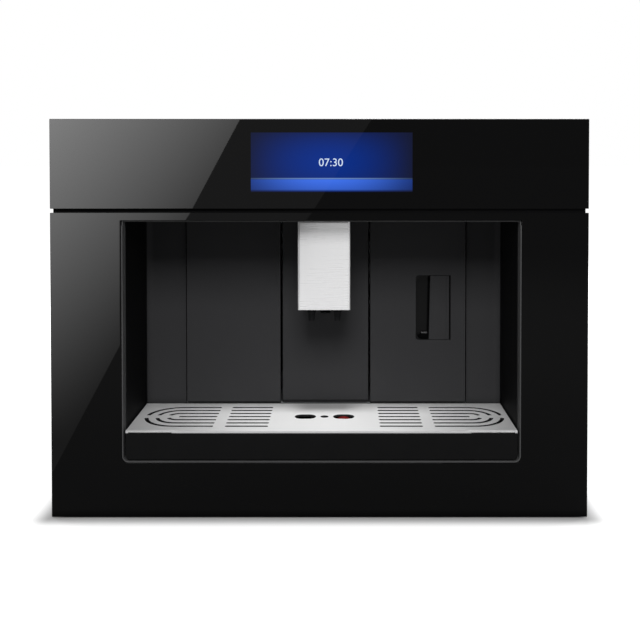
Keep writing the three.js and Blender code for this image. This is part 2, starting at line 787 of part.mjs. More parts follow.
function addGrinder(machine) {
  const hopper = group(machine, hopperOffset, brewDepth, hopperBottom);
  const inset = 2 * hopperWall;
  const throatShift = grinderOffset - hopperOffset;
  const flatFloor = throatWidth + 2 * hopperWall;
  piece(hopper, 'bean_hopper', cut(
    taperedBlock(hopperWidth, hopperDepth, hopperWidth, flatFloor, [0, hopperHeight]),
    taperedBlock(hopperWidth - inset, hopperDepth - inset, hopperWidth - inset, throatWidth,
      [hopperWall, hopperHeight + hopperWall]),
    column(throatWidth / 2, [-hopperWall, 2 * hopperWall], throatShift, 0, 16)), clearPlastic());

  const grinder = group(machine, grinderOffset, brewDepth, grinderBottom);
  const chuteX = brewOffset - grinderOffset;
  const chuteHalf = chuteWidth / 2;
  const boreHalf = chuteHalf - hopperWall;
  const chuteTop = 3 * grinderFloor;
  const bowl = cut(column(grinderRadius, [0, grinderHeight]),
    column(grinderBore, [grinderFloor, grinderHeight + grinderFloor]),
    column(grinderMotorRadius / 3, [-grinderFloor, 2 * grinderFloor], 0, 0, 12));
  const chute = block([chuteX - chuteHalf, -grinderBore], [-chuteHalf, chuteHalf], [-chuteLength, chuteTop]);
  const drop = block([chuteX - boreHalf, chuteX + boreHalf], [-boreHalf, boreHalf],
    [-2 * chuteLength, chuteTop - hopperWall]);
  const passage = block([chuteX, -grinderBore + grinderFloor], [-boreHalf, boreHalf],
    [grinderFloor, chuteTop - hopperWall]);
  piece(grinder, 'grinder_housing', cut(joined(bowl, chute), drop, passage), darkPlastic());

  const burrBottom = grinderHeight - burrHeight - grinderFloor;
  piece(grinder, 'ring_burr', tube(burrRadius, burrBore, [burrBottom, burrBottom + burrHeight]), stainless());
  const coneBottom = burrBottom - (coneHeight - burrHeight) / 2;
  const shaftRadius = grinderMotorRadius / 3 - slideGap;
  piece(grinder, 'cone_burr', joined(
    column(coneBaseRadius, [coneBottom, coneBottom + coneHeight], 0, 0, 20, coneTopRadius),
    column(shaftRadius, [touchGap, coneBottom + 1], 0, 0, 12)), stainless());
  piece(grinder, 'grinder_motor', column(grinderMotorRadius, [-grinderMotorHeight - touchGap, -touchGap]),
    galvanised());

  const lidBottom = chassisTop + touchGap;
  const lidHalf = hopperWidth / 2 + lidOverlap;
  const lidLength = hopperDepth + 2 * lidOverlap;
  piece(machine, 'bean_lid', block([-lidHalf, lidHalf], [-lidLength, 0], [0, lidThickness]), clearPlastic(),
    hopperOffset, brewDepth + lidLength / 2, lidBottom);

  const knob = cut(
    joined(column(knobRadius, [0, knobHeight]), column(stemRadius, [-stemLength, 1], 0, 0, 12)),
    block([-1, 1], [-knobRadius - 1, -knobRadius / 2], [knobHeight - 1, knobHeight + 1]));
  piece(machine, 'grind_knob', knob, darkPlastic(), knobOffset, brewDepth, lidBottom);
}

function addFunnel(machine) {
  const half = funnelWidth / 2;
  const halfDepth = funnelDepth / 2;
  const bottom = brewTop + touchGap;
  const height = chassisTop - sheet - touchGap - bottom;
  piece(machine, 'ground_coffee_funnel', cut(
    block([-half, half], [-halfDepth, halfDepth], [0, height]),
    block([-half + funnelWall, half - funnelWall], [-halfDepth + funnelWall, halfDepth - funnelWall],
      [-funnelWall, height + funnelWall])), darkPlastic(), funnelOffset, brewDepth, bottom);

  const lidLength = funnelDepth + 2 * lidOverlap;
  piece(machine, 'ground_coffee_lid',
    block([-half - lidOverlap, half + lidOverlap], [-lidLength, 0], [0, lidThickness]), darkPlastic(),
    funnelOffset, brewDepth + lidLength / 2, chassisTop + touchGap);
}

// ---------------------------------------------------------------- brew group

function addBrewGroup(machine) {
  const brew = group(machine, brewOffset, brewDepth, brewBottom);
  const half = brewWidth / 2;
  const halfLength = brewLength / 2;
  piece(brew, 'brew_frame', cut(
    block([-half, half], [-halfLength, halfLength], [0, brewHeight]),
    block([-half - brewWall, half - brewWall], [-halfLength + brewWall, halfLength - brewWall],
      [brewWall, brewHeight + brewWall])), darkPlastic());

  const chamberTop = brewHeight - flangeThickness;
  const chamberBottom = chamberTop - chamberHeight;
  const inside = half - brewWall - touchGap;
  const flange = cut(
    block([-half, inside], [-chamberRadius - 2 * flangeThickness, chamberRadius + flangeThickness],
      [chamberTop - flangeThickness, chamberTop]),
    column(chamberBore, [chamberBottom, chamberTop + 1]));
  piece(brew, 'brew_chamber', joined(tube(chamberRadius, chamberBore, [chamberBottom, chamberTop]), flange),
    darkPlastic(), 0, chamberShift, 0);

  const crossheadBottom = brewWall + crossheadLift;
  const crossheadTop = crossheadBottom + crossheadThickness;
  const reach = spindleShift - chamberShift;
  const pistonBottom = chamberBottom + pistonHeight / 2;
  const crosshead = cut(
    block([-spindleGearRadius, spindleGearRadius], [-spindleGearRadius, reach + spindleGearRadius],
      [crossheadBottom, crossheadTop]),
    column(spindleRadius + slideGap, [0, crossheadTop + 1], 0, reach, 16));
  piece(brew, 'brew_piston', joined(
    column(chamberBore - pistonClearance, [pistonBottom, pistonBottom + pistonHeight]),
    column(pistonRodRadius, [crossheadTop - 1, pistonBottom + 1], 0, 0, 12),
    crosshead), aluminium(), 0, chamberShift, 0);

  const gearBottom = brewWall + slideGap;
  const gear = polygon(Array.from({ length: 4 * spindleGearTeeth }, (_, i) => {
    const radius = i % 4 < 2 ? spindleGearRadius : spindleGearRadius - 2;
    const angle = (i / (4 * spindleGearTeeth)) * 2 * Math.PI;
    return [radius * Math.cos(angle), radius * Math.sin(angle)];
  }));
  const motorBottom = brewHeight - flangeThickness - brewMotorHeight;
  piece(brew, 'brew_spindle', joined(
    raised(gear, [gearBottom, gearBottom + spindleGearHeight]),
    column(spindleRadius, [gearBottom + 1, motorBottom - touchGap], 0, 0, 16)), stainless(), 0, spindleShift, 0);
  piece(brew, 'brew_motor', joined(
    column(brewMotorRadius, [motorBottom, motorBottom + brewMotorHeight]),
    block([0, inside], [-brewMotorRadius / 2, brewMotorRadius / 2],
      [motorBottom + 2, motorBottom + brewMotorHeight - 2])), galvanised(), 0, spindleShift, 0);
}

// ---------------------------------------------------------------- water circuit

function addWaterCircuit(machine) {
  const bottom = drawerShelfTop + touchGap;
  const cap = 6;
  piece(machine, 'boiler', joined(
    column(boilerRadius, [0, boilerHeight - cap]),
    column(boilerRadius, [boilerHeight - cap, boilerHeight], 0, 0, 24, boilerRadius - cap)), aluminium(),
    circuitOffset, boilerDepth, bottom);

  const coil = pumpCoil / 2;
  const pumpHalf = pumpBarrelLength / 2;
  piece(machine, 'water_pump', joined(
    block([-coil, coil], [-coil, coil], [0, pumpCoil]),
    barrel(pumpBarrelRadius, [-pumpHalf, pumpHalf], 0, coil, 16)), galvanised(), circuitOffset, pumpDepth, bottom);

  piece(machine, 'flow_meter', joined(
    column(meterRadius, [0, meterHeight], 0, 0, 16),
    barrel(hoseRadius + 1, [-meterRadius - 8, meterRadius + 8], 0, meterHeight / 2, 10)), darkPlastic(),
    circuitOffset, pumpDepth, bottom + pumpCoil + touchGap);

  const coupled = tankFront + tankDepth + touchGap + couplingLength + touchGap;
  const couplingZ = drawerBottom + couplingHeight;
  const pumpBack = pumpDepth + pumpHalf + touchGap;
  const pumpZ = bottom + coil;
  piece(machine, 'tank_hose', hose([
    [tankMiddle, coupled, couplingZ],
    [tankMiddle, coupled + hoseStraight, couplingZ],
    [(tankMiddle + circuitOffset) / 2, pumpBack + hoseSwing, couplingZ],
    [circuitOffset, pumpBack + 2 * hoseStraight, pumpZ],
    [circuitOffset, pumpBack + hoseStraight, pumpZ],
    [circuitOffset, pumpBack, pumpZ],
  ]), rubberGrey());

  const boilerTop = bottom + boilerHeight + touchGap;
  const hoseLevel = brewTop + hoseRise;
  const hoseLane = brewDepth - grinderRadius - 1.5 * hoseSwing;
  const flangeTop = brewTop - flangeThickness + touchGap;
  const flangePort = brewDepth + chamberShift - chamberRadius - flangeThickness;
  piece(machine, 'brew_hose', hose([
    [circuitOffset, boilerDepth, boilerTop],
    [circuitOffset, boilerDepth, boilerTop + 2 * hoseStraight],
    [circuitOffset - hoseSwing, hoseLane, hoseLevel],
    [outletOffset, hoseLane, hoseLevel],
    [groundsMiddle, hoseLane, hoseLevel],
    [brewOffset + hoseSwing, flangePort - hoseStraight, hoseLevel - hoseStraight],
    [brewOffset, flangePort, flangeTop + 1.4 * hoseStraight],
    [brewOffset, flangePort, flangeTop],
  ]), rubberGrey());
}

// ---------------------------------------------------------------- power

function addPower(machine) {
  const inlet = group(machine, inletOffset, rearInner - inletDepth, chassisFloor + inletRise);
  const half = inletWidth / 2;
  const depth = inletDepth + sheet;
  const socketMiddle = -half + socketWall + socketWidth / 2;
  const socketBack = depth - socketDepth;
  const socket = block([socketMiddle - socketWidth / 2, socketMiddle + socketWidth / 2], [socketBack, depth + 1],
    [socketWall, inletHeight - socketWall]);
  const rockerMiddle = half - socketWall - rockerWidth / 2;
  const rockerHalf = rockerWidth / 2 + slideGap;
  const rockerWell = block([rockerMiddle - rockerHalf, rockerMiddle + rockerHalf], [depth - rockerWellDepth, depth + 1],
    [socketWall / 2, inletHeight - socketWall / 2]);
  const pins = [-1, 0, 1].map((side) => {
    const x = socketMiddle + side * pinSpacing;
    const z = 2 * socketWall + (side === 0 ? earthPinRise : 0);
    return block([x - pinThickness / 2, x + pinThickness / 2], [socketBack - 1, depth - pinSetback], [z, z + pinHeight]);
  });
  piece(inlet, 'power_inlet', joined(
    cut(block([-half, half], [0, depth], [0, inletHeight]), socket, rockerWell), ...pins), darkPlastic());

  const rocker = piece(inlet, 'power_rocker',
    block([-rockerWidth / 2, rockerWidth / 2], [-rockerThickness, 0], [-rockerHeight / 2, rockerHeight / 2]),
    glossBlack(), rockerMiddle, depth - rockerSetback, inletHeight / 2);
  rocker.rotation.x = THREE.MathUtils.degToRad(rockerTilt);

  const boardHalf = powerBoardWidth / 2;
  const board = block([-boardHalf, boardHalf], [0, boardThickness], [0, powerBoardHeight]);
  const transformerLeft = -boardHalf + 3 * boardMargin;
  const transformer = block([transformerLeft, transformerLeft + transformerWidth], [-transformerDepth, boardThickness / 2],
    [3 * boardMargin, 3 * boardMargin + transformerHeight]);
  const heatSinkRight = boardHalf - 3 * boardMargin;
  const heatSink = block([heatSinkRight - heatSinkWidth, heatSinkRight], [-heatSinkDepth, boardThickness / 2],
    [2 * boardMargin, 2 * boardMargin + heatSinkHeight]);
  const posts = [[-1, boardMargin], [1, boardMargin], [-1, powerBoardHeight - boardMargin],
    [1, powerBoardHeight - boardMargin]].map(([side, z]) =>
    barrel(boardMargin / 2, [boardThickness / 2, boardStandoff], side * (boardHalf - boardMargin), z, 8));
  piece(machine, 'power_board', joined(board, transformer, heatSink, ...posts), boardGreen(),
    powerBoardOffset, rearInner - boardStandoff - touchGap, chassisTop - powerBoardDrop - powerBoardHeight);
}

// ---------------------------------------------------------------- chassis

function addChassis(machine) {
  const panEdge = sideInner - touchGap;
  const panBack = rearInner - touchGap;
  piece(machine, 'base_pan', cut(
    block([-panEdge, panEdge], [chassisFront, panBack], [chassisBottom, chassisFloor + panRim]),
    block([-panEdge + sheet, panEdge - sheet], [chassisFront + sheet, panBack - sheet],
      [chassisFloor, chassisFloor + 2 * panRim])), galvanised());

  const sideTop = chassisTop - sheet - touchGap;
  const sidePanel = () => block([-sheet / 2, sheet / 2], [chassisFront, overallDepth], [chassisBottom, sideTop]);
  const sideMiddle = chassisWidth / 2 - sheet / 2;
  const hatchMiddle = brewDepth;
  const hatchBottom = chassisFloor + hatchRise;
  const doorway = block([-sheet, sheet], [hatchMiddle - hatchDepth / 2, hatchMiddle + hatchDepth / 2],
    [hatchBottom, hatchBottom + hatchHeight]);
  piece(machine, 'side_panel_left', cut(sidePanel(), doorway), galvanised(), -sideMiddle);
  piece(machine, 'side_panel_right', sidePanel(), galvanised(), sideMiddle);

  piece(machine, 'service_hatch',
    block([0, sheet], [-hatchDepth + 2 * slideGap, 0], [0, hatchHeight - 2 * slideGap]), darkPlastic(),
    -chassisWidth / 2, hatchMiddle + hatchDepth / 2 - slideGap, hatchBottom + slideGap);

  const rear = block([-panEdge, panEdge], [rearInner, overallDepth], [chassisBottom, sideTop]);
  const inletHalf = inletWidth / 2 + touchGap;
  const inletHole = block([inletOffset - inletHalf, inletOffset + inletHalf], [rearInner - sheet, overallDepth + sheet],
    [chassisFloor + inletRise - touchGap, chassisFloor + inletRise + inletHeight + touchGap]);
  const vents = Array.from({ length: ventCount }, (_, i) => {
    const x = (i - (ventCount - 1) / 2) * ventPitch;
    return block([x - ventWidth / 2, x + ventWidth / 2], [rearInner - sheet, overallDepth + sheet],
      [chassisTop - 2 * ventHeight, chassisTop - ventHeight]);
  });
  piece(machine, 'rear_panel', cut(rear, inletHole, ...vents), galvanised());

  const beanHalf = hopperWidth / 2 - hopperWall;
  const beanLength = hopperDepth / 2 - hopperWall;
  const beanHole = block([hopperOffset - beanHalf, hopperOffset + beanHalf],
    [brewDepth - beanLength, brewDepth + beanLength], [sideTop - sheet, chassisTop + sheet]);
  const funnelHalf = funnelWidth / 2 - funnelWall;
  const funnelLength = funnelDepth / 2 - funnelWall;
  const funnelHole = block([funnelOffset - funnelHalf, funnelOffset + funnelHalf],
    [brewDepth - funnelLength, brewDepth + funnelLength], [sideTop - sheet, chassisTop + sheet]);
  const stemHole = column(stemRadius + slideGap, [sideTop - sheet, chassisTop + sheet], knobOffset, brewDepth, 16);
  piece(machine, 'top_cover', cut(
    block([-chassisWidth / 2, chassisWidth / 2], [chassisFront, overallDepth], [chassisTop - sheet, chassisTop]),
    beanHole, funnelHole, stemHole), galvanised());
}

// ---------------------------------------------------------------- runners and mounting base

// A C-shaped runner member in front view, open towards the machine.
function runnerChannel(web, lip, low, high) {
  return polygon([[0, low], [web, low], [web, high], [0, high], [0, high - lip], [web - lip, high - lip],
    [web - lip, low + lip], [0, low + lip]]);
}

function addRunners(whole, machine) {
  const back = chassisFront + runnerLength + runnerRise;
  const innerFace = chassisWidth / 2 + touchGap;
  const bottom = baseSheet + runnerRise;
  const step = runnerWall + slideGap;
  const span = [back - runnerLength, back];
  for (const [name, side] of [['left', -1], ['right', 1]]) {
    const mirrored = (shape) => {
      const points = shape.getPoints().map((point) => [side * point.x, point.y]);
      return polygon(side < 0 ? points.reverse() : points);
    };
    const start = side * innerFace;
    const outer = mirrored(runnerChannel(runnerThickness, runnerWall, bottom, bottom + runnerHeight));
    piece(whole, `runner_outer_${name}`, carriedBack(outer, span), galvanised(), start);
    const middle = mirrored(runnerChannel(runnerThickness - step, runnerWall, bottom + step,
      bottom + runnerHeight - step));
    piece(whole, `runner_middle_${name}`, carriedBack(middle, span), galvanised(), start);
    const innerEnd = runnerThickness - 2 * step - runnerWall;
    const inner = block([Math.min(0, side * innerEnd), Math.max(0, side * innerEnd)], span,
      [bottom + 2 * step, bottom + runnerHeight - 2 * step]);
    piece(machine, `runner_inner_${name}`, inner, galvanised(), start, 0, -floorGap);
  }
}

function addMountingBase(whole) {
  const inner = chassisWidth / 2 + touchGap + runnerThickness + touchGap;
  const outer = inner + baseSheet;
  const front = chassisFront + baseSetback;
  piece(whole, 'mounting_base', cut(
    block([-outer, outer], [front, front + baseDepth], [0, baseFlange]),
    block([-inner, inner], [front - 1, front + baseDepth + 1], [baseSheet, baseFlange + 1])), galvanised());
}

// ---------------------------------------------------------------- the whole object

const whole = new THREE.Group();
whole.position.y = -overallDepth / 2;
const machine = group(whole, 0, 0, floorGap);

addFront(machine);
addNiche(machine);
addShelves(machine);
addDripTray(machine);
addSpout(machine);
addGroundsDrawer(machine);
addTankDrawer(machine);
addGrinder(machine);
addFunnel(machine);
addBrewGroup(machine);
addWaterCircuit(machine);
addPower(machine);
addChassis(machine);
addRunners(whole, machine);
addMountingBase(whole);

export default whole;
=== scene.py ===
import math

import bpy
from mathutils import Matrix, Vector


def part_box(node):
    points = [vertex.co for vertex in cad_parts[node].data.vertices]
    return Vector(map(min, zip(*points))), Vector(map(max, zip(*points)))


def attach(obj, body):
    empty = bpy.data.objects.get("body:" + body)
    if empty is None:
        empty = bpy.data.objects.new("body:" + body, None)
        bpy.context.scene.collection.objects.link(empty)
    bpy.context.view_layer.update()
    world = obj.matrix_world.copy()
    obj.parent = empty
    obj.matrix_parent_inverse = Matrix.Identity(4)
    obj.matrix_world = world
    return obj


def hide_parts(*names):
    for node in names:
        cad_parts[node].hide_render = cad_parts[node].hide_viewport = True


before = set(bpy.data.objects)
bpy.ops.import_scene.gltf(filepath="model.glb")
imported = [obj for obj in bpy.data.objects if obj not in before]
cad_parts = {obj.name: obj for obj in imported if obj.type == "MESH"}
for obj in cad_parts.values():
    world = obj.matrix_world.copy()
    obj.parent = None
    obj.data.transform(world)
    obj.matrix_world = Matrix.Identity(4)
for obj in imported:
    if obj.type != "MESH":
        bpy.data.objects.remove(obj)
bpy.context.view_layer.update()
mm = 0.001

# making and shaping meshes; every size below is in millimetres


def deselectAll():
    bpy.ops.object.select_all(action="DESELECT")


def activate(*pieces):
    deselectAll()
    for piece in pieces:
        piece.select_set(True)
    bpy.context.view_layer.objects.active = pieces[0]


def settle(name):
    bpy.ops.object.transform_apply(location=True, rotation=True, scale=True)
    piece = bpy.context.object
    piece.name = name
    piece.data.name = name
    return piece


def addBlock(name, x, y, z):
    deselectAll()
    middle = [(a + b) / 2 * mm for a, b in (x, y, z)]
    size = [(b - a) * mm for a, b in (x, y, z)]
    bpy.ops.mesh.primitive_cube_add(size=1, location=middle, scale=size)
    return settle(name)


turns = {"X": (0, math.pi / 2, 0), "Y": (math.pi / 2, 0, 0), "Z": (0, 0, 0)}


def addRod(name, radius, place, axis="Z", length=10, sides=48, topRadius=None):
    deselectAll()
    bpy.ops.mesh.primitive_cone_add(
        vertices=sides, radius1=radius * mm, radius2=(radius if topRadius is None else topRadius) * mm,
        depth=length * mm, location=[a * mm for a in place], rotation=turns[axis])
    return settle(name)


def boxOf(node):
    low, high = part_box(node)
    return [(a / mm, b / mm) for a, b in zip(low, high)]


# a span that reaches further at both ends, as a cutter does past the faces it cuts; below 0 it gets shorter
def grown(span, by=1):
    return (span[0] - by, span[1] + by)


def around(middle, width):
    return (middle - width / 2, middle + width / 2)


def intoEdit(piece, kind):
    activate(piece)
    bpy.ops.object.mode_set(mode="EDIT")
    bpy.ops.mesh.select_mode(type=kind)
    bpy.ops.mesh.select_all(action="DESELECT")
    bpy.ops.object.mode_set(mode="OBJECT")


def pickFaces(piece, test):
    intoEdit(piece, "FACE")
    for face in piece.data.polygons:
        face.select = bool(test(face.center / mm, face.normal))
    bpy.ops.object.mode_set(mode="EDIT")


def pickEdges(piece, test):
    intoEdit(piece, "EDGE")
    corners = piece.data.vertices
    for edge in piece.data.edges:
        a, b = (corners[i].co / mm for i in edge.vertices)
        edge.select = bool(test((a + b) / 2, (b - a).normalized()))
    bpy.ops.object.mode_set(mode="EDIT")


def leaveEdit():
    bpy.ops.object.mode_set(mode="OBJECT")


def roundEdges(piece, test, radius, segments=8):
    pickEdges(piece, test)
    bpy.ops.mesh.bevel(offset=radius * mm, segments=segments, affect="EDGES")
    leaveEdit()
    return piece


def applyModifier(piece, kind, **settings):
    activate(piece)
    modifier = piece.modifiers.new("step", kind)
    for key, value in settings.items():
        setattr(modifier, key, value)
    bpy.ops.object.modifier_apply(modifier=modifier.name)
    return piece


def soften(piece, width, segments=2, angle=35):
    return applyModifier(piece, "BEVEL", width=width * mm, segments=segments, limit_method="ANGLE",
                         angle_limit=math.radians(angle),
                         miter_outer="MITER_ARC" if segments > 2 else "MITER_SHARP")


def fuse(*pieces):
    activate(*pieces)
    bpy.ops.object.join()
    return pieces[0]


def carve(piece, *cutters):
    cutter = fuse(*cutters) if len(cutters) > 1 else cutters[0]
    applyModifier(piece, "BOOLEAN", operation="DIFFERENCE", solver="EXACT", object=cutter)
    bpy.data.objects.remove(cutter)
    return piece


def twin(piece, name, offset):
    activate(piece)
    bpy.ops.object.duplicate()
    copy = bpy.context.object
    copy.location = [a * mm for a in offset]
    return settle(name)


def copies(piece, places):
    first = Vector(places[0])
    return [piece] + [twin(piece, piece.name, Vector(place) - first) for place in places[1:]]


def roundedBlock(name, x, y, z, axis, radius, segments=6):
    return roundEdges(addBlock(name, x, y, z), lambda m, d: abs(d["XYZ".index(axis)]) > 0.9, radius, segments)


pressing = {"bead": 7, "beadCorner": 18, "ringEdge": 0.5, "innerShare": 0.7, "rib": 9, "ribCorner": 4.4,
            "ribEdge": 0.6}


# a raised strip around a rectangle, as pressed into sheet metal
def pressedRing(name, x, y, z, axis, width, radius):
    outer = roundedBlock(name, x, y, z, axis, radius)
    spans = [grown(span, 1 if letter == axis else -width) for letter, span in zip("XYZ", (x, y, z))]
    carve(outer, roundedBlock("cutter", *spans, axis, radius - width * pressing["innerShare"]))
    return soften(outer, pressing["ringEdge"])


# round-ended ribs pressed into a sheet, one at each place
def pressedRibs(name, x, y, z, axis, places):
    rib = roundedBlock(name, x, y, z, axis, pressing["ribCorner"])
    return copies(soften(rib, pressing["ribEdge"], 3), places)


def nudge(piece, test, offset):
    pickFaces(piece, test)
    bpy.ops.transform.translate(value=[a * mm for a in offset])
    leaveEdit()
    return piece


# a CAD node as one closed skin of flat faces, with softened edges
def refine(node, width=0.4, segments=2, angle=35):
    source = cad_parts[node]
    copy = source.copy()
    copy.data = source.data.copy()
    copy.parent = None
    for key in list(copy.keys()):
        del copy[key]
    bpy.context.scene.collection.objects.link(copy)
    copy.name = node + "Finished"
    intoEdit(copy, "VERT")
    bpy.ops.object.mode_set(mode="EDIT")
    bpy.ops.mesh.select_all(action="SELECT")
    bpy.ops.mesh.remove_doubles(threshold=0.002 * mm)
    bpy.ops.mesh.dissolve_limited(angle_limit=math.radians(0.5))
    leaveEdit()
    return soften(copy, width, segments, angle) if width else copy


# shader maths


class Wire:
    def __init__(self, finish, socket):
        self.finish = finish
        self.socket = socket

    def maths(self, operation, *others):
        inputs = {i: value for i, value in enumerate((self, *others))}
        return self.finish.add("Math", {"operation": operation}, inputs)

    def __add__(self, other):
        return self.maths("ADD", other)

    __radd__ = __add__

    def __mul__(self, other):
        return self.maths("MULTIPLY", other)

    __rmul__ = __mul__

    def __sub__(self, other):
        return self.maths("SUBTRACT", other)

    def __rsub__(self, other):
        return self * -1 + other

    def __truediv__(self, other):
        return self.maths("DIVIDE", other)

    def __pow__(self, other):
        return self.maths("POWER", other)

    def __abs__(self):
        return self.maths("ABSOLUTE")

    def clamped(self):
        return self.maths("MAXIMUM", 0).maths("MINIMUM", 1)


class Finish:
    def __init__(self, name, kind="materials"):
        self.material = getattr(bpy.data, kind).new(name)
        self.material.use_nodes = True
        self.tree = self.material.node_tree
        self.tree.nodes.clear()
        self.place = self.add("TexCoord", output="Object")

    def add(self, kind, settings=None, inputs=None, output=0):
        node = self.tree.nodes.new("ShaderNode" + kind)
        for key, value in (settings or {}).items():
            if key == "stops":
                ramp = node.color_ramp
                while len(ramp.elements) < len(value):
                    ramp.elements.new(0.5)
                for element, (at, colour) in zip(ramp.elements, value):
                    element.position = at
                    element.color = (*colour, 1)
            else:
                setattr(node, key, value)
        for key, value in (inputs or {}).items():
            if isinstance(value, Wire):
                self.tree.links.new(value.socket, node.inputs[key])
            else:
                node.inputs[key].default_value = value
        return Wire(self, node.outputs[output])

    def axes(self):
        split = self.add("SeparateXYZ", inputs={0: self.place})
        outputs = split.socket.node.outputs
        return [Wire(self, outputs[i]) / mm for i in range(3)]

    def stretched(self, scale):
        return self.add("Mapping", inputs={"Vector": self.place, "Scale": scale})

    def noise(self, scale, detail=3, roughness=0.5, vector=None):
        return self.add("TexNoise", inputs={"Vector": vector or self.place, "Scale": scale, "Detail": detail,
                                            "Roughness": roughness})

    def mixed(self, factor, first, second):
        pad = [(*c, 1) if isinstance(c, tuple) else c for c in (first, second)]
        return self.add("Mix", {"data_type": "RGBA"}, {0: factor, 6: pad[0], 7: pad[1]}, 2)

    def bump(self, height, strength, distance=0.1):
        return self.add("Bump", inputs={"Height": height, "Strength": strength, "Distance": distance * mm})

    def close(self, **sockets):
        names = {"colour": "Base Color", "roughness": "Roughness", "metallic": "Metallic", "normal": "Normal",
                 "alpha": "Alpha", "specular": "Specular IOR Level", "glow": "Emission Color",
                 "glowStrength": "Emission Strength"}
        inputs = {names[key]: (*value, 1) if isinstance(value, tuple) else value
                  for key, value in sockets.items()}
        self.output(self.add("BsdfPrincipled", inputs=inputs))
        return self.material

    def output(self, surface, kind="Material"):
        node = self.tree.nodes.new("ShaderNodeOutput" + kind)
        self.tree.links.new(surface.socket, node.inputs["Surface"])

    # 1 for what is seen directly, mirrored or through glass, and 0 for what only lights other things
    def seen(self):
        path = self.add("LightPath")
        rays = path.socket.node.outputs
        others = [Wire(self, rays[kind]) for kind in ("Is Glossy Ray", "Is Transmission Ray")]
        return sum(others, path).clamped()


def blackGlass():
    finish = Finish("blackGlass")
    smear = finish.noise(18, 4, 0.6)
    return finish.close(colour=(0.0012, 0.0012, 0.0013), roughness=smear * 0.02 + 0.012, specular=0.045)


def glossBlack():
    finish = Finish("glossBlack")
    smear = finish.noise(40, 3)
    return finish.close(colour=finish.mixed(smear, (0.0022, 0.0022, 0.0024), (0.0036, 0.0036, 0.0038)),
                        roughness=smear * 0.06 + 0.12, specular=0.05)


def moulded(name, dark, light, roughness, grain, specular=0.3):
    finish = Finish(name)
    cloud = finish.noise(9, 3)
    skin = finish.noise(grain, 2, 0.6)
    return finish.close(colour=finish.mixed(cloud, dark, light), roughness=cloud * 0.1 + roughness,
                        normal=finish.bump(skin, 0.25, 0.06), specular=specular)


def brushed(name, dark, light, along, roughness=0.24, grade=2600, metallic=1.0):
    finish = Finish(name)
    scale = [1.0, 1.0, 1.0]
    scale["XYZ".index(along)] = 0.012
    lines = finish.noise(grade, 3, 0.6, finish.stretched(scale))
    cloud = finish.noise(14, 2)
    return finish.close(colour=finish.mixed(lines, dark, light), metallic=metallic,
                        roughness=lines * 0.1 + cloud * 0.06 + roughness - 0.05,
                        normal=finish.bump(lines, 0.12, 0.02))


def zincSheet():
    finish = Finish("zincSheet")
    flakes = finish.add("TexVoronoi", {"feature": "F1"},
                        {"Vector": finish.place, "Scale": 150.0, "Randomness": 1.0}, 1)
    tone = finish.add("SeparateColor", inputs={0: flakes})
    stain = finish.noise(5, 4)
    colour = finish.mixed(tone * 0.35 + stain * 0.65, (0.27, 0.28, 0.29), (0.36, 0.37, 0.385))
    return finish.close(colour=colour, metallic=0.85, roughness=tone * 0.08 + stain * 0.12 + 0.36)


def castMetal():
    finish = Finish("castMetal")
    skin = finish.noise(420, 4, 0.65)
    cloud = finish.noise(20, 3)
    return finish.close(colour=finish.mixed(cloud, (0.52, 0.53, 0.54), (0.66, 0.67, 0.68)), metallic=0.95,
                        roughness=cloud * 0.15 + 0.34, normal=finish.bump(skin, 0.3, 0.08))


def turnedSteel():
    finish = Finish("turnedSteel")
    rings = finish.noise(900, 2, 0.5, finish.stretched((1, 1, 0.03)))
    return finish.close(colour=finish.mixed(rings, (0.42, 0.42, 0.43), (0.56, 0.56, 0.57)), metallic=1.0,
                        roughness=rings * 0.12 + 0.24)


def smokedPlastic():
    finish = Finish("smokedPlastic")
    cloud = finish.noise(12, 2)
    return finish.close(colour=finish.mixed(cloud, (0.10, 0.12, 0.13), (0.16, 0.18, 0.19)),
                        roughness=cloud * 0.05 + 0.06, alpha=0.42, specular=0.5)


def redPlastic():
    finish = Finish("redPlastic")
    cloud = finish.noise(60, 2)
    return finish.close(colour=finish.mixed(cloud, (0.25, 0.010, 0.009), (0.31, 0.014, 0.012)),
                        roughness=cloud * 0.1 + 0.22)


def circuitBoard():
    finish = Finish("circuitBoard")
    tracks = finish.add("TexBrick", {"offset": 0.35, "squash": 0.7}, {
        "Vector": finish.add("Mapping", inputs={"Vector": finish.place, "Rotation": (math.pi / 2, 0, 0)}),
        "Color1": (0.012, 0.075, 0.03, 1), "Color2": (0.016, 0.09, 0.036, 1), "Mortar": (0.05, 0.2, 0.08, 1),
        "Scale": 60.0, "Mortar Size": 0.035, "Brick Width": 0.5, "Row Height": 0.2})
    cloud = finish.noise(30, 2)
    return finish.close(colour=tracks, roughness=cloud * 0.15 + 0.35)


def siliconeHose():
    finish = Finish("siliconeHose")
    cloud = finish.noise(50, 3)
    skin = finish.noise(900, 2)
    return finish.close(colour=finish.mixed(cloud, (0.16, 0.16, 0.165), (0.23, 0.23, 0.235)),
                        roughness=cloud * 0.1 + 0.45, normal=finish.bump(skin, 0.15, 0.03))


# the picture's edges are in millimetres, and what lies in it in shares of its width and height
screen = {"left": -76.9, "right": 104.6, "bottom": 369.5, "top": 436.2, "bandTop": 0.225, "bandBottom": 0.01,
          "glowX": 0.48, "glowZ": 0.5, "glowWidth": 0.56, "glowHeight": 0.62, "bandFade": 0.55,
          "night": (0.006, 0.008, 0.026), "deep": (0.001, 0.026, 0.24),
          "bandEdge": (0.010, 0.035, 0.2), "bandMiddle": (0.05, 0.17, 0.85), "line": (0.3, 0.5, 0.85)}


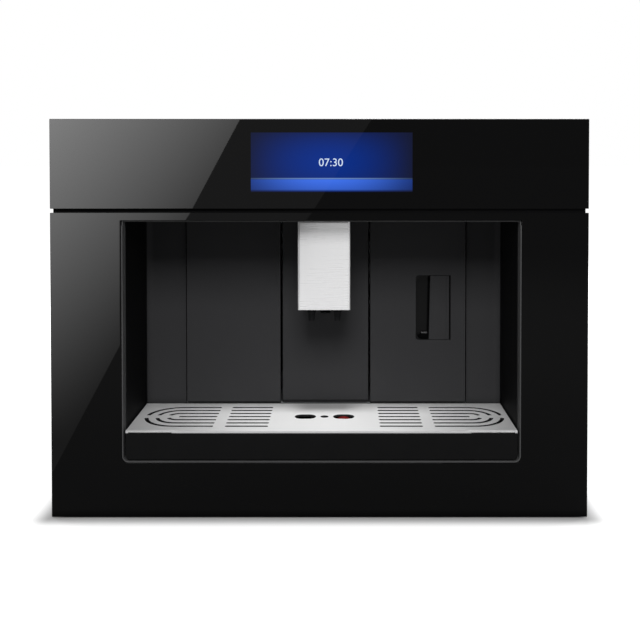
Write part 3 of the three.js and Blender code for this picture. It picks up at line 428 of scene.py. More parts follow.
def litScreen():
    finish = Finish("litScreen")
    x, _, z = finish.axes()
    u = (x - screen["left"]) / (screen["right"] - screen["left"])
    v = (z - screen["bottom"]) / (screen["top"] - screen["bottom"])
    across = (1 - ((u - screen["glowX"]) / screen["glowWidth"]) ** 2).clamped() ** 1.6
    upward = (1 - ((v - screen["glowZ"]) / screen["glowHeight"]) ** 2).clamped()
    picture = finish.mixed(across * upward, screen["night"], screen["deep"])
    band = finish.mixed(across, screen["bandEdge"], screen["bandMiddle"])
    inBand = ((v - screen["bandBottom"]) * 30).clamped() * ((screen["bandTop"] - v) * 40).clamped()
    fade = (v * 2 + screen["bandFade"]).clamped()
    picture = finish.mixed(inBand * fade, picture, band)
    line = (1 - abs(v - screen["bandTop"]) * 60).clamped() * (across * 0.8 + 0.1)
    picture = finish.mixed(line * 0.6, picture, screen["line"])
    return finish.close(colour=(0.001, 0.001, 0.0015), roughness=0.02, specular=0.03, glow=picture,
                        glowStrength=1.0)


def litDigits():
    finish = Finish("litDigits")
    cloud = finish.noise(40, 2)
    return finish.close(colour=(0.02, 0.02, 0.02), roughness=0.3, glowStrength=1.0,
                        glow=finish.mixed(cloud, (0.55, 0.68, 0.86), (0.68, 0.8, 0.95)))


finishes = {
    "black_glass": blackGlass(),
    "gloss_black": glossBlack(),
    "charcoal": moulded("charcoalPlastic", (0.025, 0.025, 0.0262), (0.030, 0.030, 0.0313), 0.5, 900, 0.025),
    "dark_plastic": moulded("darkPlastic", (0.011, 0.011, 0.012), (0.016, 0.016, 0.017), 0.5, 700, 0.04),
    "clear_plastic": smokedPlastic(),
    "float_red": redPlastic(),
    "screen": litScreen(),
    "digits": litDigits(),
    "board": circuitBoard(),
    "stainless": brushed("brushedStainless", (0.58, 0.58, 0.585), (0.64, 0.64, 0.645), "X", 0.25, 2200, 0.4),
    "trim": moulded("trimPaint", (0.055, 0.055, 0.056), (0.07, 0.07, 0.071), 0.5, 600, 0.1),
    "grille": brushed("satinSteel", (0.78, 0.78, 0.78), (0.86, 0.86, 0.86), "X", 0.42, 2200, 0.6),
    # darker steel: the finish of the rear's blank plate, and painted shade on the grille's front lip
    "foldedSteel": brushed("foldedSteel", (0.34, 0.34, 0.345), (0.40, 0.40, 0.405), "X", 0.4, 2200, 0.7),
    # near black: the print of the knob's scale, and painted shade in the niche, in its seams and in the gap
    # between the glass panes
    "inkAndPaintedShade": moulded("sootPlastic", (0.0025, 0.0025, 0.0027), (0.004, 0.004, 0.0043), 0.5, 700, 0.025),
    "steel": brushed("turnedBright", (0.42, 0.42, 0.425), (0.5, 0.5, 0.505), "Z", 0.3, 900),
    "mark": moulded("paleMark", (0.5, 0.5, 0.5), (0.56, 0.56, 0.56), 0.5, 500, 0.2),
    "burr_steel": turnedSteel(),
    "galvanised": zincSheet(),
    "aluminium": castMetal(),
    "hose_rubber": siliconeHose(),
}
print("finishes made")


# gives the picked faces a second finish; the first one must be on already
def paintFaces(piece, test, finish):
    piece.data.materials.append(finishes[finish])
    pickFaces(piece, test)
    piece.active_material_index = len(piece.data.materials) - 1
    bpy.ops.object.material_slot_assign()
    leaveEdit()


screw = {"radius": 3.4, "height": 1.5, "edge": 0.6, "slot": 0.9, "slotShare": 0.62, "depth": 0.8}


# pan-head screws with a cross slot; each place is the seat of one head, and outward is 1 or -1 along the axis
def addScrews(places, axis, outward):
    direction = Vector([outward if letter == axis else 0 for letter in "XYZ"])
    middle = Vector(places[0]) + direction * screw["height"] / 2
    head = addRod("screwHead", screw["radius"], middle, axis, screw["height"], 20)
    soften(head, screw["edge"], 3)
    face = Vector(places[0]) + direction * screw["height"]
    reach = screw["radius"] * screw["slotShare"]
    thin = screw["slot"] / 2
    for long in [letter for letter in "XYZ" if letter != axis]:
        half = [screw["depth"] if letter == axis else reach if letter == long else thin for letter in "XYZ"]
        carve(head, addBlock("cutter", *[(face[i] - half[i], face[i] + half[i]) for i in range(3)]))
    return copies(head, places)


def finishPiece(piece, body, slot, *nodes, finish=None, angle=35):
    activate(piece)
    bpy.ops.object.shade_smooth_by_angle(angle=math.radians(angle))
    applyModifier(piece, "WEIGHTED_NORMAL", keep_sharp=True)
    piece.data.materials.clear()
    piece.data.materials.append(finishes[finish or slot])
    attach(piece, body)
    if nodes:
        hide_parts(*nodes)
    return piece


# camera, floor and light

# metres for the camera's place and the floor's size, degrees for the pitch, millimetres for the two reaches
# on the floor, and shares of the picture's width for the shifts
studio = {"place": (0.0257, -1.2151, 0.4108), "pitch": 1.19, "lens": 50.56, "shiftX": -0.0347,
          "shiftY": -0.2284, "worldLight": 0.1, "floorSize": 60, "floorPaint": 0.5, "floorGlow": 0.72,
          "paintedShadowReach": 28.0, "glowReach": 900.0}

# metres, watts and degrees
lamps = {
    "key": {"place": (0, -1.85, 1.5), "aim": (0, -0.1, 0.2), "size": 0.75, "power": 40},
    "rear": {"place": (0.5, 2.0, 1.3), "aim": (0, 0, 0.2), "size": 1.0, "power": 32},
    "sides": {"place": (1.9, 0.9, 1.1), "aim": (0, 0, 0.2), "size": 1.0, "power": 18},
    "spot": {"place": (0.005, -0.47, 0.98), "aim": (0.005, -0.13, 0.1), "size": 0.08, "power": 60,
             "angle": 27},
}


def addCamera():
    deselectAll()
    tilt = math.radians(90 - studio["pitch"])
    bpy.ops.object.camera_add(location=studio["place"], rotation=(tilt, 0, 0))
    camera = bpy.context.object
    camera.data.lens = studio["lens"]
    camera.data.shift_x = studio["shiftX"]
    camera.data.shift_y = studio["shiftY"]
    bpy.context.scene.camera = camera


# the floor is seen as white away from the machine, and its glow fades out towards the machine's footprint: a
# painted shadow on top of the one the lamps cast
def addFloor():
    bpy.ops.mesh.primitive_plane_add(size=studio["floorSize"], location=(0, 0, 0))
    floor = bpy.context.object
    floor.name = "floor"
    finish = Finish("floorPaint")
    x, y, _ = finish.axes()
    right = boxOf("control_glass")[0][1]
    front = -boxOf("control_glass")[1][0]
    away = ((abs(x) - right).maths("MAXIMUM", 0) ** 2 + (abs(y) - front).maths("MAXIMUM", 0) ** 2) ** 0.5
    # near fades the glow out over the last few centimetres to the footprint, and far over most of a metre:
    # painted shadow around the machine
    near, far = [finish.add("MapRange", {"interpolation_type": "SMOOTHSTEP"},
                            {"Value": away, "From Max": reach, "To Max": level})
                 for reach, level in ((studio["paintedShadowReach"], studio["floorGlow"]),
                                      (studio["glowReach"], 1 - studio["floorGlow"]))]
    paint = finish.add("BsdfDiffuse", inputs={"Color": (*[studio["floorPaint"]] * 3, 1)})
    glow = finish.add("Emission", inputs={"Color": (1, 1, 1, 1), "Strength": finish.seen() * (near + far)})
    finish.output(finish.add("AddShader", inputs={0: paint, 1: glow}))
    floor.data.materials.append(finish.material)


# white where it is seen, and dim where it only lights
def addAir():
    air = Finish("studioAir", "worlds")
    bpy.context.scene.world = air.material
    level = air.seen() * (1 - studio["worldLight"]) + studio["worldLight"]
    air.output(air.add("Background", inputs={"Color": (1, 1, 1, 1), "Strength": level}), "World")


def addLamps():
    for name, lamp in lamps.items():
        for side in (1, -1) if name == "sides" else (1,):
            light = bpy.data.lights.new(name + "Lamp", "SPOT" if "angle" in lamp else "AREA")
            light.energy = lamp["power"]
            if "angle" in lamp:
                light.spot_size = math.radians(lamp["angle"])
                light.spot_blend = 1.0
                light.shadow_soft_size = lamp["size"]
            else:
                light.size = lamp["size"]
            stand = bpy.data.objects.new(light.name, light)
            bpy.context.scene.collection.objects.link(stand)
            x, y, z = lamp["place"]
            stand.location = (x * side, y, z)
            way = Vector(lamp["aim"]) - stand.location
            stand.rotation_euler = way.to_track_quat("-Z", "Y").to_euler()


# cards that only the polished front mirrors: each corner is (x, z) on the glass, as the camera sees it there
cards = {"distance": 150.0, "bright": [(-340, 500), (-63, 500), (-303, 50), (-340, 50)],
         "faint": [(-63, 500), (90, 500), (-70, 250), (-196, 250)], "faintLevel": 2.4, "left": -303,
         "seenIn": ["controlPane", "surroundPane", "displayPicture"],
         "level": 54, "fade": 0.73, "foot": 35, "height": 420, "power": 1.35}


# the lamp or card lights these pieces and nothing else
def onlyOn(light, *names):
    lit = bpy.data.collections.new(light.name + "Only")
    for name in names:
        lit.objects.link(bpy.data.objects[name])
    light.light_linking.receiver_collection = lit


# the lamp lights everything but these pieces
def neverOn(light, *names):
    onlyOn(light, *names)
    for link in light.light_linking.receiver_collection.collection_objects:
        link.light_linking.link_state = "EXCLUDE"


def addCards():
    eyeX, eyeY, eyeZ = (a / mm for a in studio["place"])
    front = boxOf("control_glass")[1][0]
    reach = cards["distance"] / (front - eyeY)
    for name in ("bright", "faint"):
        depth = (front - cards["distance"]) * mm
        corners = [((x + (x - eyeX) * reach) * mm, depth, (z + (z - eyeZ) * reach) * mm)
                   for x, z in cards[name]]
        mesh = bpy.data.meshes.new(name + "Card")
        mesh.from_pydata(corners, [], [list(range(len(corners)))])
        card = bpy.data.objects.new(name + "Card", mesh)
        bpy.context.scene.collection.objects.link(card)
        finish = Finish(name + "Card")
        level = cards["faintLevel"]
        if name == "bright":
            x, _, z = finish.axes()
            (topX, topZ), (lowX, lowZ) = corners[1][::2], corners[2][::2]
            slant = (topX - lowX) / (topZ - lowZ)
            edge = (z - topZ / mm) * slant + topX / mm
            left = cards["left"] + (cards["left"] - eyeX) * reach
            across = ((x - left) / (edge - left)).clamped()
            upward = ((z - cards["foot"]) / cards["height"]).clamped() ** cards["power"]
            level = upward * cards["level"] * (1 - across * cards["fade"]) + cards["faintLevel"]
        finish.output(finish.add("Emission", inputs={"Color": (1, 1, 1, 1), "Strength": level}))
        mesh.materials.append(finish.material)
        for ray in ("camera", "diffuse", "transmission", "volume_scatter", "shadow"):
            setattr(card, "visible_" + ray, False)
        onlyOn(card, *cards["seenIn"])


addCamera()
addFloor()
addAir()
addLamps()
print("studio set up")

# the glass front, its trim and the display

glassFront = {"edge": 0.5, "openingRadius": 7, "openingGap": 0.3, "trimWall": 1.4, "trimEdge": 0.3,
              "topSetback": 3, "pictureSetback": 0.08, "pictureRim": 1.5, "pictureRecess": 0.6}


def openingCutter(name, left, right, bottom, top, radius, y):
    cutter = addBlock(name, (left, right), y, (bottom, top))
    return roundEdges(cutter, lambda m, d: abs(d.y) > 0.9 and m.z < bottom + 1, radius)


def addGlassFront():
    x, y, z = boxOf("control_glass")
    shown = [(screen["left"], screen["right"]), (screen["bottom"], screen["top"])]
    pane = soften(addBlock("controlPane", x, y, z), glassFront["edge"], 3)
    carve(pane, addBlock("hole", shown[0], grown(y), shown[1]))
    finishPiece(pane, "machine", "black_glass", "control_glass")

    picture = addBlock("displayPicture", shown[0], (y[0] + glassFront["pictureSetback"], y[1]), shown[1])
    pickFaces(picture, lambda c, n: n.y > 0.9)
    bpy.ops.mesh.inset(thickness=glassFront["pictureRim"] * mm)
    inward = (0, -glassFront["pictureRecess"] * mm, 0)
    bpy.ops.mesh.extrude_region_move(TRANSFORM_OT_translate={"value": inward})
    leaveEdit()
    finishPiece(picture, "machine", "screen")

    x, y, z = boxOf("surround_glass")
    left, right = boxOf("opening_trim")[0]
    bottom, top = boxOf("opening_trim")[2]
    gap = glassFront["openingGap"]
    pane = addBlock("surroundPane", x, y, z)
    carve(pane, openingCutter("cutter", left - gap, right + gap, bottom - gap, top + gap,
                              glassFront["openingRadius"], grown(y)))
    soften(pane, glassFront["edge"], 3, 60)
    finishPiece(pane, "machine", "black_glass", "surround_glass")

    depth = boxOf("opening_trim")[1]
    wall = glassFront["trimWall"]
    trim = openingCutter("openingTrimRing", left, right, bottom, top, glassFront["openingRadius"], depth)
    carve(trim, openingCutter("cutter", left + wall, right - wall, bottom + wall, top - wall,
                              glassFront["openingRadius"] - wall, grown(depth)))
    carve(trim, addBlock("cutter", grown((left, right)), (depth[0] - 1, depth[0] + glassFront["topSetback"]),
                         (top - wall - 4, top + 1)))
    soften(trim, glassFront["trimEdge"], 2, 60)
    finishPiece(trim, "machine", "stainless", "opening_trim", finish="trim")


clock = {"text": "07:30", "size": 12.5, "x": 13.0, "z": 398.5, "thickness": 0.02}


def addClock():
    front = boxOf("control_glass")[1][0] + glassFront["pictureSetback"] / 2
    deselectAll()
    place = [a * mm for a in (clock["x"], front, clock["z"])]
    bpy.ops.object.text_add(location=place, rotation=turns["Y"])
    digits = bpy.context.object
    digits.data.body = clock["text"]
    digits.data.size = clock["size"] * mm
    digits.data.align_x = "CENTER"
    digits.data.extrude = clock["thickness"] * mm
    bpy.ops.object.convert(target="MESH")
    finishPiece(settle("clockDigits"), "machine", "screen", finish="digits")


addGlassFront()
addClock()
addCards()
print("glass front made")

# the niche with its two drawer fronts

niche = {"recess": ((118.45, 161.45), (-90.2, -73.1), (178.9, 260.1)),
         "softEdge": 0.7, "panelEdge": 0.9, "footGap": 2.4, "footCut": 1.8, "sideGap": 0.6, "shadeLining": 0.8,
         "shadeLiningCorner": 4, "pocketCorner": 7, "scoop": 9}


def addNiche():
    liner = refine("niche_liner", niche["softEdge"], 3)
    finishPiece(liner, "machine", "charcoal", "niche_liner")
    left, right = boxOf("niche_liner")[0]
    foot = boxOf("grounds_cover")[2][0]
    edges = (boxOf("grounds_cover")[0][0], boxOf("tank_cover")[0][1])
    # the niche's side walls, its outer strips, the underside of its roof and the faces beside the drawer
    # covers get the near-black finish: painted shade where the niche is dark
    paintFaces(liner, lambda c, n: abs(n.x) > 0.8 or c.x < left + 3 or c.x > right - 3 or n.z < -0.8 or
               abs(n.x) > 0.2 and min(abs(c.x - edge) for edge in edges) < 2, "inkAndPaintedShade")
    for node, body in (("centre_panel", "machine"), ("grounds_cover", "grounds_drawer"),
                       ("tank_cover", "tank_drawer")):
        x, y, z = boxOf(node)
        panel = refine(node, 0)
        carve(panel, addBlock("cutter", grown(x), (y[0] - 1, y[0] + niche["footCut"]),
                              (z[0] - 1, foot + niche["footGap"])))
        nudge(panel, lambda c, n: n.x > 0.9 and c.x > x[1] - 0.1, (-niche["sideGap"], 0, 0))
        nudge(panel, lambda c, n: n.x < -0.9 and c.x < x[0] + 0.1, (niche["sideGap"], 0, 0))
        soften(panel, niche["panelEdge"], 3)
        finishPiece(panel, body, "charcoal", node)
        # their side faces get the near-black finish: painted shade in the seams between the panels
        paintFaces(panel, lambda c, n: abs(n.x) > 0.5, "inkAndPaintedShade")
    # a gloss black lining in the grip's finger recess: painted shade that keeps the recess dark; the rounded
    # edge along its floor catches a real glint from the key lamp
    x, y, z = niche["recess"]
    wall = niche["shadeLining"]
    shadeLining = addBlock("recessLining", x, y, z)
    roundEdges(shadeLining, lambda m, d: abs(d.y) > 0.9 and m.x < x[0] + 1, niche["shadeLiningCorner"])
    pocket = addBlock("cutter", grown(x, -wall), (y[0] - 1, y[1] - 1), grown(z, -wall))
    roundEdges(pocket, lambda m, d: abs(d.y) > 0.9 and m.x < x[0] + wall + 1, niche["pocketCorner"])
    roundEdges(pocket, lambda m, d: abs(d.x) > 0.9 and m.y > y[1] - 2 and m.z < z[0] + 3, niche["scoop"])
    soften(carve(shadeLining, pocket), 0.25, 2, 60)
    finishPiece(shadeLining, "tank_drawer", "gloss_black")


grip = {"edge": 0.5, "crown": 0.9, "rim": 2.5, "slope": 3.5, "roll": 1.6, "endGap": 0.25, "sideGap": 1.0,
        "lean": 1.8, "lineInset": 3.2, "line": 0.5}


# the plate that tips outward: rolled edge by the recess, slightly crowned face
def addGrip():
    x, y, z = boxOf("tank_handle")
    plate = addBlock("tankGrip", (x[0], x[1] - grip["sideGap"]), (y[0] + grip["crown"], y[1]),
                     grown(z, grip["endGap"]))
    pickFaces(plate, lambda c, n: n.y < -0.9)
    bpy.ops.mesh.inset(thickness=grip["rim"] * mm)
    bpy.ops.mesh.inset(thickness=grip["slope"] * mm)
    bpy.ops.transform.translate(value=(0, -grip["crown"] * 0.5 * mm, 0))
    leaveEdit()
    pickEdges(plate, lambda m, d: abs(d.y) > 0.9 and m.x < x[0] + 0.1 and m.z < z[0] + 1)
    bpy.ops.transform.translate(value=(-grip["lean"] * mm, 0, 0))
    leaveEdit()
    roundEdges(plate, lambda m, d: abs(d.z) > 0.9 and m.x < x[0] + 0.1 and m.y < y[0] + 1.5, grip["roll"], 6)
    soften(plate, grip["edge"], 3)
    right = x[1] - grip["sideGap"] - grip["lineInset"]
    carve(plate, addBlock("cutter", (right - grip["line"], right), (y[0] - 1, y[0] + grip["crown"] + 0.5),
                          grown(z)))
    finishPiece(plate, "handle", "charcoal", "tank_handle")


addNiche()
addGrip()
print("niche made")

# the drip tray

tray = {"corner": 5, "edge": 0.6, "ribs": (-180, -120, -60, 60, 120, 180), "rib": 2, "ribInset": 18,
        "ribFoot": 1.5, "ribHeight": 6.5, "floatDome": 2.0, "floatRim": 1.5, "floatDish": 0.8}
grille = {"slot": 4.5, "pitch": 12.7, "innerStart": 64.2, "innerLength": 50, "outerStart": 127.8,
          "arcCentre": 173.5, "arcBreak": 6.4, "rows": 3, "ovalStraight": 7.4, "ovalWidth": 18,
          "ovalOffset": 22.9, "roundRadius": 4.8, "edge": 0.35, "border": 8, "lipLength": 58, "lipDepth": 7,
          "lipRise": 0.4, "notchInsets": (3, 6), "notchLength": 49, "notchDepth": 2.5, "notchRoof": 0.8}


def slotCutter(x, y, width, z):
    return roundedBlock("slot", x, around(y, width), z, "Z", width * 0.49, 5)


def bentCutter(side, row, axisX, axisY, z):
    width = grille["slot"]
    y = axisY + row * grille["pitch"]
    start = axisX + side * grille["outerStart"]
    end = axisX + side * grille["arcCentre"]
    cutter = addBlock("slot", sorted((start, end)), around(y, width), z)
    radius = abs(row) * grille["pitch"]
    sweep = math.pi / 2 - math.asin((grille["arcBreak"] + width) / 2 / radius)
    pickFaces(cutter, lambda c, n: n.x * side > 0.9)
    turn = sweep if side * row < 0 else -sweep
    bpy.ops.mesh.spin(steps=10, angle=turn, center=(end * mm, axisY * mm, z[0] * mm), axis=(0, 0, -1))
    leaveEdit()
    activate(cutter)
    bpy.ops.object.mode_set(mode="EDIT")
    bpy.ops.mesh.select_all(action="SELECT")
    bpy.ops.mesh.remove_doubles(threshold=0.01 * mm)
    bpy.ops.mesh.normals_make_consistent(inside=False)
    leaveEdit()
    return cutter


def addGrille():
    x, y, z = boxOf("cup_grille")
    through = (z[0] - 2, z[1] + 3)
    axisX = (boxOf("spout_cover")[0][0] + boxOf("spout_cover")[0][1]) / 2
    axisY = (y[0] + y[1]) / 2
    plate = addBlock("cupGrille", x, y, z)
    cutters = [addRod("hole", grille["roundRadius"], (axisX, axisY, z[1]), "Z", 12, 32)]
    for side in (-1, 1):
        for row in range(-grille["rows"], grille["rows"] + 1):
            near = axisX + side * grille["innerStart"]
            far = near + side * grille["innerLength"]
            rowY = axisY + row * grille["pitch"]
            cutters.append(slotCutter(sorted((near, far)), rowY, grille["slot"], through))
            if row == 0:
                ends = sorted((axisX + side * grille["outerStart"], axisX + side * grille["arcCentre"]))
                cutters.append(slotCutter(ends, rowY, grille["slot"], through))
            else:
                cutters.append(bentCutter(side, row, axisX, axisY, through))
        middle = axisX + side * grille["ovalOffset"]
        reach = (grille["ovalStraight"] + grille["ovalWidth"]) / 2
        cutters.append(slotCutter((middle - reach, middle + reach), axisY, grille["ovalWidth"], through))
    carve(plate, *cutters)
    soften(plate, grille["edge"], 2, 60)
    lips, notches = [], []
    for start, inset in zip((x[0], x[1] - grille["lipLength"]), grille["notchInsets"]):
        lip = addBlock("grilleLip", (start, start + grille["lipLength"]), (y[0], y[0] + grille["lipDepth"]),
                       (z[1] - 0.3, z[1] + grille["lipRise"]))
        lips.append(soften(lip, grille["edge"]))
        notches.append(addBlock("cutter", (start + inset, start + inset + grille["notchLength"]),
                                (y[0] - 1, y[0] + grille["notchDepth"]),
                                (z[0] - 1, z[1] - grille["notchRoof"])))
    fuse(carve(plate, *notches), *lips)
    finishPiece(plate, "grille", "stainless", "cup_grille", finish="grille")
    border = grille["border"]
    # the walls of the slots and holes get the dark plastic finish: painted shade inside them
    paintFaces(plate, lambda c, n: abs(n.z) < 0.6 and x[0] + border < c.x < x[1] - border and
               y[0] + border < c.y < y[1] - border, "dark_plastic")
    # the grille's front lip gets the darker steel: painted shade on its front face
    paintFaces(plate, lambda c, n: n.y < -0.6 and c.y < y[0] + 1, "foldedSteel")


def addTray():
    x, y, z = boxOf("tray_fascia")
    fascia = openingCutter("trayFascia", *x, *z, tray["corner"], y)
    soften(fascia, tray["edge"], 3, 60)
    finishPiece(fascia, "drip_tray", "gloss_black", "tray_fascia")
    _, y, z = boxOf("drip_basin")
    rib = addBlock("basinRib", around(tray["ribs"][0], tray["rib"]), grown(y, -tray["ribInset"]),
                   (z[0] + tray["ribFoot"], z[0] + tray["ribHeight"]))
    ribs = copies(soften(rib, tray["edge"], 3), [(place, 0, 0) for place in tray["ribs"]])
    finishPiece(fuse(refine("drip_basin", 0.5), *ribs), "drip_tray", "dark_plastic", "drip_basin")
    x, y, z = boxOf("tray_float")
    radius = (x[1] - x[0]) / 2
    body = addRod("trayFloat", radius, (sum(x) / 2, sum(y) / 2, sum(z) / 2), "Z", z[1] - z[0], 40)
    roundEdges(body, lambda m, d: abs(d.z) < 0.1 and m.z > z[1] - 0.1, tray["floatDome"], 4)
    pickFaces(body, lambda c, n: n.z > 0.9)
    bpy.ops.mesh.inset(thickness=tray["floatRim"] * mm)
    bpy.ops.mesh.extrude_region_move(TRANSFORM_OT_translate={"value": (0, 0, -tray["floatDish"] * mm)})
    leaveEdit()
    finishPiece(body, "float", "float_red", "tray_float")


addGrille()
addTray()
onlyOn(bpy.data.objects["spotLamp"], "cupGrille")
for lampName in ("rearLamp", "sidesLamp", "sidesLamp.001"):
    neverOn(bpy.data.objects[lampName], "cupGrille")  # they would glare in the plate when it is pulled out
print("drip tray made")

# the spout

spout = {"radius": 2.2, "innerRadius": 1.2, "wall": 1.5, "edge": 0.4, "border": 3.6, "borderStep": 0.5,
         "relief": 0.35, "taper": 0.9, "tipWall": 1.4, "tipDepth": 9, "collar": 5.4, "collarRise": 11,
         "collarWidth": 2.4, "collarEdge": 0.6}


def addSpout():
    x, y, z = boxOf("spout_cover")
    wall = spout["wall"]
    cover = addBlock("spoutCover", x, (y[0] + spout["relief"], y[1]), z)
    roundEdges(cover, lambda m, d: abs(d.z) > 0.9 and m.y < y[0] + 1, spout["radius"], 6)
    pickFaces(cover, lambda c, n: n.y < -0.99)
    bpy.ops.mesh.inset(thickness=(spout["border"] - spout["radius"]) * mm)
    bpy.ops.mesh.inset(thickness=spout["borderStep"] * mm)
    bpy.ops.transform.translate(value=(0, -spout["relief"] * mm, 0))
    leaveEdit()
    inside = addBlock("cutter", grown(x, -wall), (y[0] + wall, y[1] + 2), (z[0] - 2, z[1] - wall))
    roundEdges(inside, lambda m, d: abs(d.z) > 0.9 and m.y < y[0] + wall + 1, spout["innerRadius"], 4)
    carve(cover, inside)
    soften(cover, spout["edge"], 2, 60)
    finishPiece(cover, "spout", "stainless", "spout_cover")
    finishPiece(refine("spout_carriage", 0.5), "spout", "dark_plastic", "spout_carriage")
    for node in ("spout_nozzle_left", "spout_nozzle_right"):
        x, y, z = boxOf(node)
        middle = (sum(x) / 2, sum(y) / 2)
        radius = (x[1] - x[0]) / 2
        tip = addRod(node.replace("_", "") + "Tip", radius - spout["taper"], (*middle, sum(z) / 2), "Z",
                     z[1] - z[0], 32, radius)
        pickFaces(tip, lambda c, n: n.z < -0.9)
        bpy.ops.mesh.inset(thickness=spout["tipWall"] * mm)
        bpy.ops.mesh.extrude_region_move(TRANSFORM_OT_translate={"value": (0, 0, spout["tipDepth"] * mm)})
        leaveEdit()
        soften(tip, spout["edge"])
        ring = addRod("collar", spout["collar"], (*middle, z[0] + spout["collarRise"]), "Z",
                      spout["collarWidth"], 32)
        fuse(tip, soften(ring, spout["collarEdge"]))
        finishPiece(tip, "spout", "dark_plastic", node)


addSpout()
print("spout made")

# the casing: top, sides, rear and hatch

# every place is a pair: along the sheet, then across it
casing = {"proud": 1.1, "sunk": 0.6, "sheetEdge": 0.25, "topSetback": 0.06,
          "sideRing": ((-150, 178), (70, 412)), "sideRibSpan": (-122, 150),
          "sideRibs": {"left": (310, 345, 380), "right": (180, 245, 310)},
          "sideScrews": [(-172, 60), (-172, 250), (-172, 424), (196, 60), (196, 250), (196, 424),
                         (-50, 424), (70, 424)],
          "topRing": ((-22, 238), (-150, 182)), "topRibSpan": (-120, 152), "topRibs": (30, 72, 114, 156, 198),
          "topScrews": [(-252, -173), (-90, -173), (90, -173), (252, -173), (-252, 196), (-90, 196),
                        (90, 196), (252, 196), (252, 12)],
          "rearRing": ((-215, 95), (70, 300)), "grooveCorner": 13, "seat": 5.6, "seatDepth": 1.7,
          "rearScrews": [(-250, 60), (-250, 240), (-250, 422), (250, 60), (250, 240), (250, 422),
                         (-90, 422), (90, 422), (-90, 30), (90, 30)],
          "plate": ((-160, -70), (190, 245)), "plateGap": 0.6, "rivet": 1.5, "rivetInset": 5}


def addSides():
    for name, side in (("left", -1), ("right", 1)):
        node = "side_panel_" + name
        face = side * max(abs(a) for a in boxOf(node)[0])
        panel = soften(refine(node, 0), casing["sheetEdge"])
        stand = sorted((face - side * casing["sunk"], face + side * casing["proud"]))
        ribs = casing["sideRibs"][name]
        parts = [pressedRing("sideBead", stand, *casing["sideRing"], "X", pressing["bead"],
                             pressing["beadCorner"])]
        parts += pressedRibs("sideRib", stand, casing["sideRibSpan"], around(ribs[0], pressing["rib"]), "X",
                             [(0, 0, height) for height in ribs])
        parts += addScrews([(face, *place) for place in casing["sideScrews"]], "X", side)
        finishPiece(fuse(panel, *parts), "machine", "galvanised", node)


def addTop():
    top = boxOf("top_cover")[2][1]
    cover = soften(refine("top_cover", 0), casing["sheetEdge"], 3)
    nudge(cover, lambda c, n: n.y > 0.3, (0, -casing["topSetback"], 0))
    stand = (top - casing["sunk"], top + casing["proud"])
    ribs = casing["topRibs"]
    parts = [pressedRing("topBead", *casing["topRing"], stand, "Z", pressing["bead"], pressing["beadCorner"])]
    parts += pressedRibs("topRib", around(ribs[0], pressing["rib"]), casing["topRibSpan"], stand, "Z",
                         [(place, 0, 0) for place in ribs])
    parts += addScrews([(*place, top) for place in casing["topScrews"]], "Z", 1)
    finishPiece(fuse(cover, *parts), "machine", "galvanised", "top_cover")


# nothing may stand behind the rear sheet, so its beads, screws and blank plate are sunk into it
def addRear():
    rear = boxOf("rear_panel")[1][1]
    panel = refine("rear_panel", 0)
    deep = (rear - casing["sunk"], rear + 1)
    across, up = casing["rearRing"]
    groove = roundedBlock("cutter", across, deep, up, "Y", pressing["beadCorner"])
    carve(groove, roundedBlock("cutter", grown(across, -pressing["bead"]), grown(deep),
                               grown(up, -pressing["bead"]), "Y", casing["grooveCorner"]))
    places = [(x, rear, z) for x, z in casing["rearScrews"]]
    seats = copies(addRod("seat", casing["seat"], places[0], "Y", casing["seatDepth"], 24), places)
    across, up = casing["plate"]
    pocket = roundedBlock("cutter", across, (rear - 0.5, rear + 1), up, "Y", 3)
    carve(panel, groove, pocket, *seats)
    soften(panel, 0.2)
    heads = addScrews([(x, rear - screw["height"], z) for x, z in casing["rearScrews"]], "Y", 1)
    finishPiece(fuse(panel, *heads), "machine", "galvanised", "rear_panel")
    across, up = [grown(span, -casing["plateGap"]) for span in casing["plate"]]
    plate = soften(roundedBlock("blankPlate", across, (rear - 0.6, rear - 0.1), up, "Y", 2.6), 0.15)
    corners = [(x, rear - 0.15, z) for z in grown(up, -casing["rivetInset"])
               for x in grown(across, -casing["rivetInset"])]
    rivets = copies(soften(addRod("rivet", casing["rivet"], corners[0], "Y", 0.3, 16), 0.1), corners)
    finishPiece(fuse(plate, *rivets), "machine", "galvanised", finish="foldedSteel")


hatch = {"corner": 5, "ridge": 3.5, "ridgeInset": 2, "grooves": 9, "groovePitch": 9, "groove": 3.2,
         "grooveStart": 34, "grooveEnd": 16, "knuckle": 1.7, "hingeLength": 22, "hingeInset": 20,
         "latch": 8, "latchRise": 2.2, "latchInset": 18, "latchSlot": 12}


